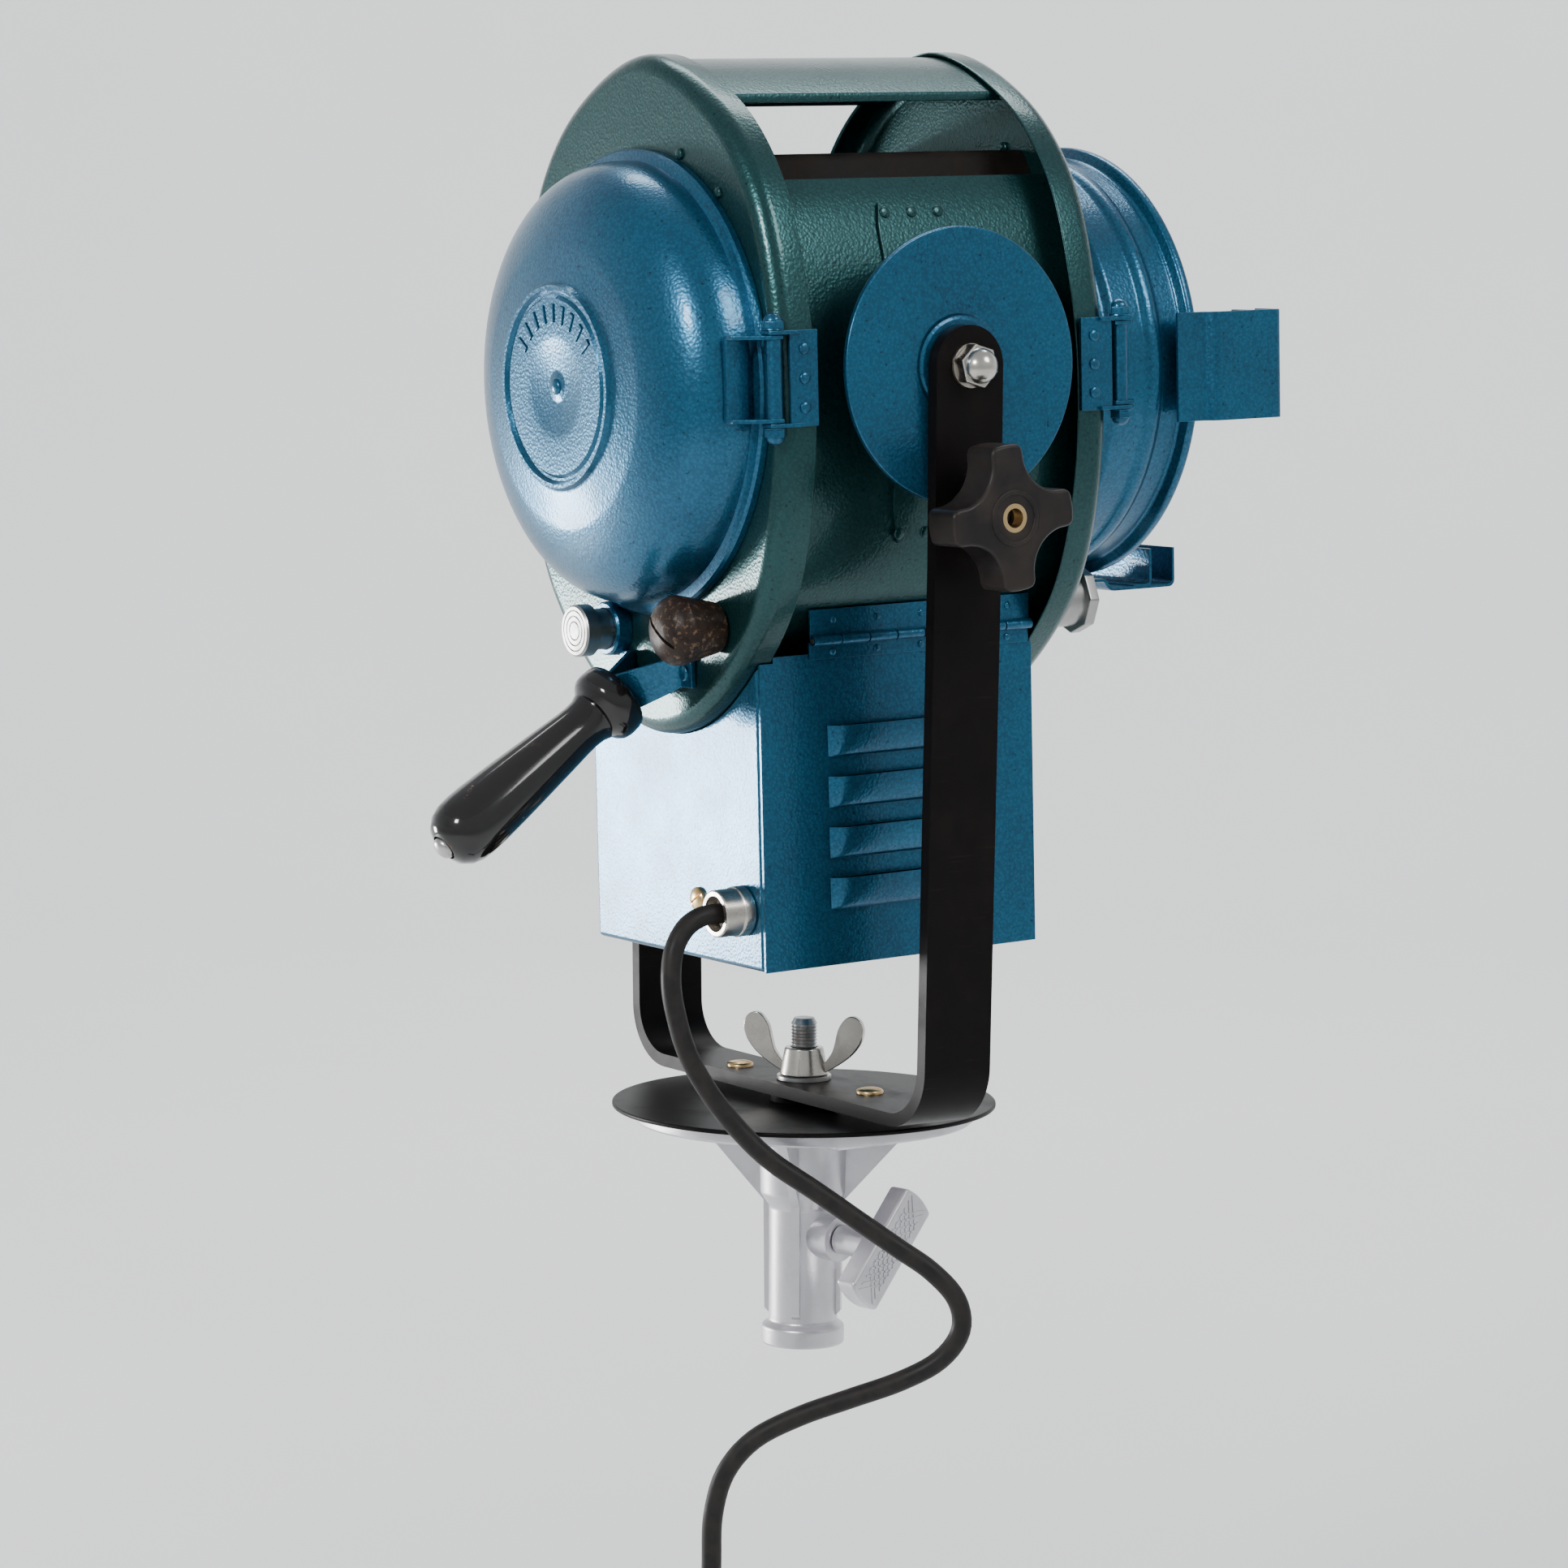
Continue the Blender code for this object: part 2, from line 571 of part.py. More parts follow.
def flange_clearances(label):
    """Cutters that follow both end plates, a little larger than they are."""
    shape = pear(-2 * GAP)
    start = RIM_Y - 2 * GAP
    rear = prism(label + "_rear_relief", at_y(shape, start), (0, 0, 0), (0, 0.03, 0), axis=HEAD)
    front = prism(label + "_front_relief", at_y(shape, -start), (0, 0, 0), (0, -0.03, 0), axis=HEAD)
    return rear, front


def build_box():
    box = block("lower_box", (-BOX_X + SHEET, BOX_FRONT, BOX_BOTTOM), (BOX_X, BOX_REAR, BOX_TOP),
                "hammer_blue", HEAD)
    inside = block("box_inside", (-0.09, BOX_FRONT + SHEET, BOX_BOTTOM + SHEET),
                   (BOX_X - SHEET, BOX_REAR - SHEET, BOX_TOP + 0.02), axis=HEAD)
    gland_hole = rod("gland_hole", (GLAND_X, BOX_REAR - 0.01, GLAND_Z), (GLAND_X, BOX_REAR + 0.01, GLAND_Z),
                     0.0078, axis=HEAD)
    cut(box, inside, gland_hole, *flange_clearances("box"))
    block("terminal_block", (-0.020, -0.030, BOX_BOTTOM + SHEET + GAP), (0.030, -0.010, BOX_BOTTOM + 0.022),
          "ceramic", HEAD)


def build_flap():
    """The louvred side panel on its piano hinge."""
    outer = -BOX_X
    flap = block("side_flap", (outer, BOX_FRONT, BOX_BOTTOM), (outer + SHEET - GAP, BOX_REAR, PIANO_Z - 0.006),
                 "hammer_blue", FLAP)
    first_louvre, pitch, half = -0.1570, 0.0225, 0.0405
    hoods, slots = [], []
    for i in range(4):
        top = first_louvre - i * pitch
        section = [(outer + 0.0006, top - 0.0130), (outer - 0.0035, top - 0.0085), (outer - 0.0048, top),
                   (outer - 0.0036, top), (outer - 0.0024, top - 0.0078), (outer + 0.0006, top - 0.0105)]
        hoods.append(prism("louvre_hood", [(x, -half, z) for x, z in section], (0, 0, 0), (0, 2 * half, 0),
                           axis=FLAP))
        slots.append(block("louvre_slot", (outer - 0.001, 0.003 - half, top - 0.0095),
                           (outer + 0.01, half - 0.003, top - 0.001), axis=FLAP))
    cut(flap, *slots, *flange_clearances("flap"))
    join(flap, *hoods)

    rear_end, front_end, knuckles = 0.050, -0.068, 8
    length = (rear_end - front_end) / knuckles
    leaf_low = block("flap_leaf", (PIANO_X + 0.0015, front_end, PIANO_Z - 0.0085),
                     (outer + 0.0008, rear_end, PIANO_Z), axis=FLAP)
    fixed_leaf = block("piano_hinge_leaf", (PIANO_X + 0.0012, front_end, PIANO_Z),
                       (PIANO_X + 0.0024, rear_end, PIANO_Z + 0.0135), "hammer_blue", HEAD)
    moving, fixed, moving_gaps, fixed_gaps = [], [], [], []
    for i in range(knuckles):
        low = front_end + i * length + GAP / 2
        high = low + length - GAP
        mine = rod("knuckle", (PIANO_X, low, PIANO_Z), (PIANO_X, high, PIANO_Z), PIANO_R, sides=12,
                   axis=FLAP if i % 2 else HEAD)
        relief = block("knuckle_relief", (PIANO_X - 0.004, low - 1.5 * GAP, PIANO_Z - 0.0032),
                       (PIANO_X + 0.006, high + 1.5 * GAP, PIANO_Z + 0.0032), axis=HEAD if i % 2 else FLAP)
        (moving if i % 2 else fixed).append(mine)
        (fixed_gaps if i % 2 else moving_gaps).append(relief)
    cut(leaf_low, *moving_gaps)
    cut(fixed_leaf, *fixed_gaps)
    join(flap, leaf_low, *moving)
    join(fixed_leaf, *fixed)
    pin_r = 0.0011
    cut(flap, rod("flap_bore", (PIANO_X, -0.09, PIANO_Z), (PIANO_X, 0.09, PIANO_Z), pin_r + 0.0002,
                  axis=FLAP, sides=10))
    cut(fixed_leaf, rod("leaf_bore", (PIANO_X, -0.09, PIANO_Z), (PIANO_X, 0.09, PIANO_Z), pin_r + 0.0002,
                        axis=HEAD, sides=10))
    rod("piano_hinge_pin", (PIANO_X, front_end, PIANO_Z), (PIANO_X, rear_end, PIANO_Z), pin_r, "steel", HEAD,
        sides=10)


def build_gland():
    face = BOX_REAR + GAP
    middle = (GLAND_X, 0, GLAND_Z)
    profile = [(0.0100, face + 0.0150), (0.0105, face + 0.0145), (0.0105, face + 0.0055),
               (0.0112, face + 0.0050), (0.0112, face), (0.0074, face), (0.0074, face - 0.008),
               (0.0052, face - 0.008), (0.0052, face + 0.006), (0.0080, face + 0.009), (0.0080, face + 0.0150)]
    turned("cable_gland", profile, middle, (0, 1, 0), "nickel", HEAD, 18, closed=True)


# ---- doors -------------------------------------------------------------------------------------
def cover_profile():
    """The rear cover's section: a full dome, a short skirt and a turned-out edge."""
    edge = END_Y + GAP
    skirt_r, power = 0.0975, 2.7
    base = edge + 0.0055
    rise = COVER_DEPTH - 0.0055
    points = [(0.0, base + rise - 0.0004), (0.0405, base + rise - 0.0009), (0.0432, base + rise - 0.0026)]
    for degrees in (24, 38, 52, 68, 90):
        angle = math.radians(degrees)
        radius = skirt_r * math.sin(angle) ** (2 / power)
        height = rise * max(math.cos(angle), 0.0) ** (2 / power)
        points.append((radius, base + height))
    points += [(COVER_R - 0.0015, base - 0.0010), (COVER_R + 0.0015, base - 0.0025), (COVER_R + 0.0015, edge)]
    return points


def hinge_plates(label, side, pin_y, outline, z_pairs, axis, bore):
    plates = []
    for low, high in z_pairs:
        flat = [(x, side * y, HINGE_Z + low) for x, y in outline]
        plates.append(prism(label + "_ear", flat, (0, 0, 0), (0, 0, high - low), axis=axis))
    hole = rod(label + "_bore", (HINGE_X, pin_y, HINGE_Z - 0.04), (HINGE_X, pin_y, HINGE_Z + 0.04), bore,
               axis=axis, sides=14)
    return plates, hole


def build_hinge(label, side, pin_y, door, door_axis, door_outline):
    """A pin in two ears on the rim, and the door's own ears and spacer tube between them."""
    half = HINGE_HALF
    rim_x = -0.1116
    leaf_end = min(0.0865, abs(pin_y) - 0.0062)
    near, far = sorted((side * 0.0695, side * leaf_end))
    leaf = block(label + "_hinge_leaf", (rim_x - 0.0016, near, HINGE_Z - half), (rim_x, far, HINGE_Z + half),
                 "hammer_blue", HEAD)
    ear = ((-0.1152, 0.079), (-0.1152, abs(pin_y) + 0.0045), (-0.1055, abs(pin_y) + 0.0045),
           (-0.1055, END_Y + 0.0006), (rim_x, END_Y + 0.0006), (rim_x, 0.079))
    ears, hole = hinge_plates(label, side, pin_y, ear, ((half - 0.0017, half), (-half, 0.0017 - half)), HEAD, 0.0024)
    join(leaf, *ears)
    cut(leaf, hole)

    inner = half - 0.0017 - GAP
    door_ears, door_hole = hinge_plates(
        label + "_door", side, pin_y, door_outline, ((inner - 0.0017, inner), (-inner, 0.0017 - inner)),
        door_axis, 0.0025)
    tube = rod(label + "_spacer", (HINGE_X, pin_y, HINGE_Z - inner), (HINGE_X, pin_y, HINGE_Z + inner), 0.0036,
               axis=door_axis, sides=16)
    join(door, tube, *door_ears)
    cut(door, door_hole)

    pin_r = 0.0021
    pin = rod(label + "_hinge_pin", (HINGE_X, pin_y, HINGE_Z - half - 0.002),
              (HINGE_X, pin_y, HINGE_Z + half + 0.002), pin_r, "steel", HEAD, sides=14)
    caps = []
    for way in (-1, 1):
        start = Vector((HINGE_X, pin_y, HINGE_Z + way * (half + GAP)))
        caps.append(rod(label + "_cap", start, start + Vector((0, 0, way * 0.0045)), 0.0044, axis=HEAD, sides=6))
        dome = [(0.0, 0.0085), (0.0022, 0.0080), (0.0036, 0.0062), (0.0036, 0.0040), (0.0, 0.0040)]
        caps.append(turned(label + "_dome", dome, start, (0, 0, way), axis=HEAD, steps=12))
    join(pin, *caps)


def build_rear_cover():
    cover = turned("rear_cover", cover_profile(), (0, 0, LENS_Z), (0, 1, 0), "hammer_blue", REAR_DOOR, 32,
                   thickness=SHEET)
    plate = block("cover_leaf", (-0.0995, 0.0960, HINGE_Z - HINGE_HALF + 0.002),
                  (-0.0965, 0.1070, HINGE_Z + HINGE_HALF - 0.002), axis=REAR_DOOR)
    join(cover, plate)
    outline = ((-0.1142, END_Y + 0.0006), (-0.1142, 0.0935), (-0.1030, 0.1065), (-0.0970, 0.1070),
               (-0.0970, 0.0950), (-0.1050, END_Y + 0.0006))
    build_hinge("rear", 1, REAR_HINGE_Y, cover, REAR_DOOR, outline)


def build_lens_door():
    front, back = -DOOR_FRONT, -DOOR_BACK
    profile = [
        (DOOR_R + 0.0008, front), (DOOR_RIM_R, front), (DOOR_RIM_R, front - 0.0048), (DOOR_R, front - 0.0070),
        (DOOR_R, 0.1285), (DOOR_R + 0.0024, 0.1240), (DOOR_R, 0.1195),
        (DOOR_R, 0.1040), (DOOR_R - 0.0025, 0.1005), (DOOR_R - 0.0025, back),
    ]
    door = turned("lens_door", profile, (0, 0, LENS_Z), (0, -1, 0), "hammer_blue", FRONT_DOOR, 32,
                  thickness=SHEET)
    outline = ((-0.1142, END_Y + 0.0006), (-0.1142, 0.0970), (-0.1030, 0.1060), (-0.0912, 0.1092),
               (-0.0912, 0.1010), (-0.1040, END_Y + 0.0006))
    build_hinge("front", -1, FRONT_HINGE_Y, door, FRONT_DOOR, outline)

    wall = DOOR_R - SHEET - GAP
    frame = [(wall, 0.1190), (wall, 0.1100), (wall - 0.0016, 0.1100), (wall - 0.0016, 0.1174),
             (0.0760, 0.1174), (0.0760, 0.1190)]
    turned("lens_frame", frame, (0, 0, LENS_Z), (0, -1, 0), "soot_black", FRONT_DOOR, 32, closed=True)
    clip = [(wall, 0.1246), (wall, 0.1193), (0.0809, 0.1193), (0.0809, 0.1231), (0.0775, 0.1231),
            (0.0775, 0.1246)]
    turned("lens_clip_ring", clip, (0, 0, LENS_Z), (0, -1, 0), "soot_black", FRONT_DOOR, 32, closed=True)
    back_face, rings = 0.1193, 4
    lens = [(0.0, back_face + 0.0080)]
    zone = 0.0765 / rings
    for i in range(rings):
        outer = zone * (i + 1)
        lens.append((outer - 0.0004, back_face + 0.0080 - 0.0052 * (i + 1) / rings))
        if i < rings - 1:
            lens.append((outer, back_face + 0.0080))
    lens += [(0.0768, back_face + 0.0028), (0.0806, back_face + 0.0028), (0.0806, back_face), (0.0, back_face)]
    turned("fresnel_lens", lens, (0, 0, LENS_Z), (0, -1, 0), "glass", FRONT_DOOR, 32)


def bracket_rows(section, half, direction):
    """A (radius, depth) section on one side of the lens door, as rows across the bracket's width."""
    over, up = direction
    return [[(over * radius - up * across, -y, LENS_Z + up * radius + over * across) for radius, y in section]
            for across in (-half, half)]


def build_accessory_brackets():
    half = 0.0245
    hook = ((0.1003, 0.1320), (0.1003, 0.1480), (0.1050, 0.1510), (0.1050, 0.1870), (0.0880, 0.1870))
    inner = ((0.1042, 0.1640), (0.1042, 0.1735), (0.0880, 0.1735))
    places = {"left": (-1, 0), "right": (1, 0), "bottom": (0, -1)}
    for label, direction in places.items():
        bracket = sheet("accessory_bracket_" + label, bracket_rows(hook, half, direction), BRACKET_T,
                        "hammer_blue", FRONT_DOOR)
        wall = sheet("bracket_wall", bracket_rows(inner, half, direction), BRACKET_T, axis=FRONT_DOOR)
        join(bracket, wall)


def build_catch(name, side):
    """A spring strip on the rim, opposite the hinge, that grips the door's edge."""
    x = 0.1116
    section = ((x, 0.0705), (x, 0.0880), (x - 0.0075, 0.0925), (x - 0.0066, 0.0985))
    rows = [[(px, side * y, z) for px, y in section] for z in (-0.0155, 0.0025)]
    sheet(name, rows, 0.0010, "steel", HEAD, offset=float(side))


# ---- handle, controls and optics ---------------------------------------------------------------
def build_handle():
    axis_line = Vector((0, math.cos(HANDLE_SLOPE), -math.sin(HANDLE_SLOPE)))
    up = Vector((0, math.sin(HANDLE_SLOPE), math.cos(HANDLE_SLOPE)))
    upright = Vector((0, 0, 1))
    start = Vector((HANDLE_X, 0.1080, -0.1420))
    straps = []
    for side in (-1, 1):
        foot_x, foot_y, foot_z = HANDLE_X + side * 0.021, END_Y + 0.0016, -0.1330
        path = [Vector((foot_x + side * 0.009, foot_y, foot_z)), Vector((foot_x, foot_y, foot_z)),
                Vector((foot_x - side * 0.002, foot_y + 0.0025, foot_z - 0.0005)),
                Vector((HANDLE_X + side * 0.0035, start.y - 0.001, start.z + 0.0005)),
                Vector((HANDLE_X + side * 0.0035, start.y, start.z)) + axis_line * 0.010]
        reach = [upright * 0.0065, upright * 0.0065, upright * 0.0075, up * 0.0095, up * 0.0060]
        rows = [[point + height * way for point, height in zip(path, reach)] for way in (-1, 1)]
        straps.append(sheet("handle_bracket" if side < 0 else "strap", rows, 0.0025,
                            "hammer_blue" if side < 0 else None, HEAD, offset=0.0))
    tang = rod("tang", start + axis_line * 0.002, start + axis_line * 0.014, 0.0062, axis=HEAD, sides=16)
    join(straps[0], straps[1], tang)
    shape = [
        (0.0, GRIP_L), (0.0070, 0.1073), (0.0122, 0.1040), (0.0157, 0.0930), (0.0150, 0.0760),
        (0.0130, 0.0500), (0.0109, 0.0250), (0.0122, 0.0145), (0.0162, 0.0108), (0.0172, 0.0070),
        (0.0155, 0.0), (0.0, 0.0),
    ]
    grip_start = start + axis_line * 0.002
    grip = turned("handle_grip", shape, grip_start, axis_line, "black_wood", HEAD, 20)
    cut(grip, rod("grip_bore", start - axis_line * 0.01, start + axis_line * 0.016, 0.0118, axis=HEAD))
    end = grip_start + axis_line * (GRIP_L + GAP)
    rod("handle_bolt", end, end + axis_line * 0.0035, 0.0055, "steel", HEAD, end_radius=0.0035)


def build_focus():
    rod("focus_screw", (FOCUS_X, -0.0965, FOCUS_Z), (FOCUS_X, 0.0965, FOCUS_Z), FOCUS_R, "steel", FOCUS, sides=16)
    face = END_Y + 2 * GAP
    rear = [(0.0, 0.0305), (0.0070, 0.0297), (0.0120, 0.0270), (0.0152, 0.0222), (0.0155, 0.0195),
            (0.0110, 0.0), (0.0, 0.0)]
    knob = turned("focus_knob_rear", rear, (FOCUS_X, face, FOCUS_Z), (0, 1, 0), "bakelite", FOCUS, 24)
    slot = block("knob_slot", (FOCUS_X - 0.02, face + 0.0275, FOCUS_Z - 0.0007),
                 (FOCUS_X + 0.02, face + 0.04, FOCUS_Z + 0.0007), axis=FOCUS)
    bore = rod("rear_knob_bore", (FOCUS_X, face - 0.01, FOCUS_Z), (FOCUS_X, 0.0968, FOCUS_Z), FOCUS_R + GAP,
               axis=FOCUS, sides=16)
    cut(knob, slot, bore)
    front = rod("focus_knob_front", (FOCUS_X, -face, FOCUS_Z), (FOCUS_X, -face - 0.016, FOCUS_Z), 0.0125,
                "grey_alloy", FOCUS, sides=24)
    join(front, rod("octagon", (FOCUS_X, -face - 0.0158, FOCUS_Z), (FOCUS_X, -face - 0.0215, FOCUS_Z), 0.0160,
                    axis=FOCUS, sides=8))
    cut(front, rod("front_knob_bore", (FOCUS_X, 0.01 - face, FOCUS_Z), (FOCUS_X, -0.0968, FOCUS_Z),
                   FOCUS_R + GAP, axis=FOCUS, sides=16))


def build_switch():
    face = END_Y + 2 * GAP
    shape = [(0.0, 0.0225), (0.0108, 0.0225), (0.0117, 0.0215), (0.0117, 0.0155), (0.0092, 0.0145),
             (0.0092, 0.0), (0.0, 0.0)]
    knob = turned("switch_knob", shape, (SWITCH_X, face, SWITCH_Z), (0, 1, 0), "grey_alloy", SWITCH, 20)
    join(knob, rod("switch_shaft", (SWITCH_X, 0.0795, SWITCH_Z), (SWITCH_X, face + 0.002, SWITCH_Z), 0.003,
                   axis=SWITCH, sides=12))
    body_back, body_front = 0.0625, 0.0840
    switch = block("rotary_switch", (SWITCH_X - 0.011, body_back, SWITCH_Z - 0.006),
                   (SWITCH_X + 0.011, body_front, SWITCH_Z + 0.012), "ceramic", HEAD)
    cut(switch, rod("switch_bore", (SWITCH_X, 0.0790, SWITCH_Z), (SWITCH_X, 0.09, SWITCH_Z), 0.0033,
                    axis=HEAD, sides=12))


def build_optics():
    """The lamp, its holder and the mirror ride on a carriage that the focus screw moves."""
    rail_x = 0.030
    end = END_Y - SHEET - GAP
    rails = rod("carriage_rails", (-rail_x, -end, RAIL_Z), (-rail_x, end, RAIL_Z), RAIL_R, "steel", HEAD, sides=12)
    other = rod("rail", (rail_x, -end, RAIL_Z), (rail_x, end, RAIL_Z), RAIL_R, axis=HEAD, sides=12)
    bars = [block("cross_bar", (-0.036, side * 0.0805 - 0.002, RAIL_Z - 0.0055),
                  (0.036, side * 0.0805 + 0.002, RAIL_Z + 0.0035), axis=HEAD) for side in (-1, 1)]
    join(rails, other, *bars)

    plate_low = RAIL_Z + RAIL_R + GAP
    plate_top = plate_low + 0.004
    carriage = block("carriage", (-0.044, -0.030, plate_low), (0.044, 0.040, plate_top), "steel", CARRIAGE)
    web = block("nut_web", (-0.0518, -0.008, plate_low + 0.002), (-0.043, 0.008, FOCUS_Z), axis=CARRIAGE)
    nut = rod("focus_nut", (FOCUS_X, -0.008, FOCUS_Z), (FOCUS_X, 0.008, FOCUS_Z), 0.0052, axis=CARRIAGE)
    join(carriage, web, nut)
    cut(carriage, rod("nut_bore", (FOCUS_X, -0.02, FOCUS_Z), (FOCUS_X, 0.02, FOCUS_Z), FOCUS_R + GAP,
                      axis=CARRIAGE, sides=16))

    seat = plate_top + GAP
    holder = [(0.0, seat + 0.022), (0.0130, seat + 0.022), (0.0130, seat + 0.040), (0.0200, seat + 0.040),
              (0.0200, seat + 0.006), (0.0230, seat + 0.006), (0.0230, seat), (0.0, seat)]
    turned("lamp_holder", holder, (0, 0, 0), (0, 0, 1), "ceramic", CARRIAGE, 24)
    low = seat + 0.022 + GAP
    bulb = [(0.0, LENS_Z + 0.034), (0.0100, LENS_Z + 0.031), (0.0165, LENS_Z + 0.023), (0.0190, LENS_Z + 0.012),
            (0.0190, LENS_Z - 0.030), (0.0126, LENS_Z - 0.042), (0.0126, low), (0.0, low)]
    turned("lamp_bulb", bulb, (0, 0, 0), (0, 0, 1), "glass", CARRIAGE, 20)

    curve_r, rim_r, rim_y = 0.084, 0.052, 0.031
    mirror = []
    for step in range(6):
        angle = math.asin(rim_r / curve_r) * step / 5
        mirror.append((curve_r * math.sin(angle), curve_r * math.cos(angle) - math.sqrt(curve_r ** 2 - rim_r ** 2)))
    reflector = turned("reflector", mirror, (0, rim_y, LENS_Z), (0, 1, 0), "mirror", CARRIAGE, 24, thickness=0.0012)
    join(reflector, block("reflector_stay", (-0.009, rim_y + 0.001, seat), (0.009, rim_y + 0.0035, LENS_Z - 0.044),
                          axis=CARRIAGE))


# ---- mains lead --------------------------------------------------------------------------------
def build_cord():
    route = [Vector(point) for point in CORD_ROUTE]
    points = spline_points(route, 2, False)
    curve = bpy.data.curves.new("power_cord", "CURVE")
    curve.dimensions = "3D"
    curve.bevel_depth = CORD_R
    curve.bevel_resolution = 2
    curve.use_fill_caps = True
    line = curve.splines.new("POLY")
    line.points.add(len(points) - 1)
    for target, point in zip(line.points, points):
        target.co = (*point, 1.0)
    register(bpy.data.objects.new("power_cord", curve), "rubber", PAN)

    radial, axial, corner = 0.009, 0.0135, 0.004
    inner, outer = COIL_MID_R - radial, COIL_MID_R + radial
    section = [
        (outer - corner, axial), (outer, axial - corner), (outer, corner - axial), (outer - corner, -axial),
        (inner + corner, -axial), (inner, corner - axial), (inner, axial - corner), (inner + corner, axial)]
    turned("cord_coil", section, COIL_CENTRE, (1, 0, 0), "rubber", PAN, 28, closed=True)

    x, y, z = COIL_CENTRE
    plug_x, plug_y, sleeve_top, body_top = x + 0.0080, y - 0.0620, z - 0.0195, z - 0.0480
    plug = rod("cord_plug", (plug_x, plug_y, body_top), (plug_x, plug_y, sleeve_top), 0.0080, "black_plastic", PAN,
               end_radius=0.0052)
    body = [(0.0, body_top + 0.001), (0.0120, body_top + 0.001), (0.0165, body_top - 0.004),
            (0.0175, body_top - 0.030), (0.0175, body_top - 0.034), (0.0, body_top - 0.034)]
    pins = [rod("plug_pin", (plug_x, plug_y + shift, body_top - 0.033), (plug_x, plug_y + shift, body_top - 0.053), 0.0024,
                sides=12, axis=PAN) for shift in (-0.0095, 0.0095)]
    join(plug, turned("plug_body", body, (plug_x, plug_y, 0), (0, 0, 1), axis=PAN, steps=28), *pins)


build_socket()
build_socket_screw()
build_yoke()
build_pivot(-1, "left")
build_pivot(1, "right")
build_tilt_clamp()
build_end_plates()
build_body()
build_box()
build_flap()
build_gland()
build_rear_cover()
build_lens_door()
build_accessory_brackets()
build_catch("rear_catch", 1)
build_catch("front_catch", -1)
build_handle()
build_focus()
build_switch()
build_optics()
build_cord()
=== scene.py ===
"""Looks for the fresnel spotlight: fine meshes, finishes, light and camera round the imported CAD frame.

Row frame in metres: +Z up, the lens faces -Y, the door hinges and the tilt clamp are on the -X side.
Pieces of the lamp head are modelled in the head's own frame, with its origin on the tilt axis.
"""

import json
from math import asin, copysign, cos, pi, radians, sin, sqrt

import bmesh
import bpy
from mathutils import Matrix, Vector

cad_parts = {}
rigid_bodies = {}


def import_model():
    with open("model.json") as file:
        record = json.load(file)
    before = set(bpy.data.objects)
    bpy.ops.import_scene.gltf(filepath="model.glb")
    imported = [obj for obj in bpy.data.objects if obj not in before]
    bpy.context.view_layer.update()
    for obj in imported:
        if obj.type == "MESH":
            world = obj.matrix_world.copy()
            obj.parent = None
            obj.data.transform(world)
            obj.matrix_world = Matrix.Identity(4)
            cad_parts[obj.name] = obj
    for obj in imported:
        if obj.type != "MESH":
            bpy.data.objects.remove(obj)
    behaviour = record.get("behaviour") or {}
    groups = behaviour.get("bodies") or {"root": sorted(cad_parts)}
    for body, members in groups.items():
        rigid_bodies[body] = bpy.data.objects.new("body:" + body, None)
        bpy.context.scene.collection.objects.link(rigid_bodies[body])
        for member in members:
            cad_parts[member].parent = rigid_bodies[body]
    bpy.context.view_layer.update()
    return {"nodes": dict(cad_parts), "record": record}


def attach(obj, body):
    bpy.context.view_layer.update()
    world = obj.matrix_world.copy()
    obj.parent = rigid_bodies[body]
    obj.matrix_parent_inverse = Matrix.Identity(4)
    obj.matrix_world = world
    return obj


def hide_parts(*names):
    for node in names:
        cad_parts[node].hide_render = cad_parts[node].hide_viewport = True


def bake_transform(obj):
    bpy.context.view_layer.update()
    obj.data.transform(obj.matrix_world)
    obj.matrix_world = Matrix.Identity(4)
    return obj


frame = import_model()

# ---- driving dimensions, in metres, the same as the CAD model's ----
GAP = 0.0003
SHEET = 0.0016
PIVOT_Z = 0.4509
HEAD_TILT = radians(-1.8)
HEAD = Matrix.Translation((0, 0, PIVOT_Z)) @ Matrix.Rotation(HEAD_TILT, 4, "X")

SOCKET_TOP = 0.110
SOCKET_BORE = 0.0112
SOCKET_SCREW_Z = 0.0512
SOCKET_SCREW_TURN = radians(78)  # from -Y towards -X
FLANGE_R = 0.078
STUD_R = 0.006
STUD_TOP = 0.151
FRICTION_DISC_R = 0.088
FRICTION_DISC_T = 0.0025
YOKE_BASE_Z = 0.1164
YOKE_HALF_BASE = 0.1215
YOKE_HALF_TOP = 0.1265
YOKE_BEND = 0.028
BAR_W = 0.035
BAR_T = 0.006

LENS_Z = -0.0066  # the optical axis, below the tilt axis
OUTLINE = (  # half widths and heights of the pear-shaped end plates, from the top down
    (0.0, 0.137), (0.055, 0.117), (0.090, 0.081), (0.107, 0.030), (0.111, -0.025),
    (0.102, -0.077), (0.082, -0.115), (0.041, -0.151), (0.0, -0.163),
)
BODY_INSET = 0.014  # the body sheet, inside that outline
BODY_TOP = 0.081  # the body sheet stops here and leaves the chimney open
END_Y = 0.087  # flat face of both end plates
RIM_Y = 0.069  # free edge of their rims
END_BEND = 0.008
PORT_R = 0.090
COVER_R = 0.101
COVER_DEPTH = 0.0465
HINGE_X = -0.110
REAR_HINGE_Y = 0.090
FRONT_HINGE_Y = -0.093
HINGE_Z = -0.0025
HINGE_HALF = 0.0205
DOOR_BACK = -0.0895
DOOR_FRONT = -0.147
DOOR_R = 0.0945
DOOR_RIM_R = 0.0995
BOX_X = 0.071
BOX_REAR = 0.0755
BOX_FRONT = -0.0703
BOX_BOTTOM = -0.2635
BOX_TOP = -0.1235
PIANO_X = -0.0742
PIANO_Z = -0.1190
PIANO_R = 0.0024
DISC_R = 0.0598
DISC_X = 0.1202  # outer face of the tilt discs
DISC_T = 0.003
CLAMP_DROP = 0.064  # the tilt clamp's screw, below the tilt axis
FOCUS_X = -0.056
FOCUS_Z = -0.1115
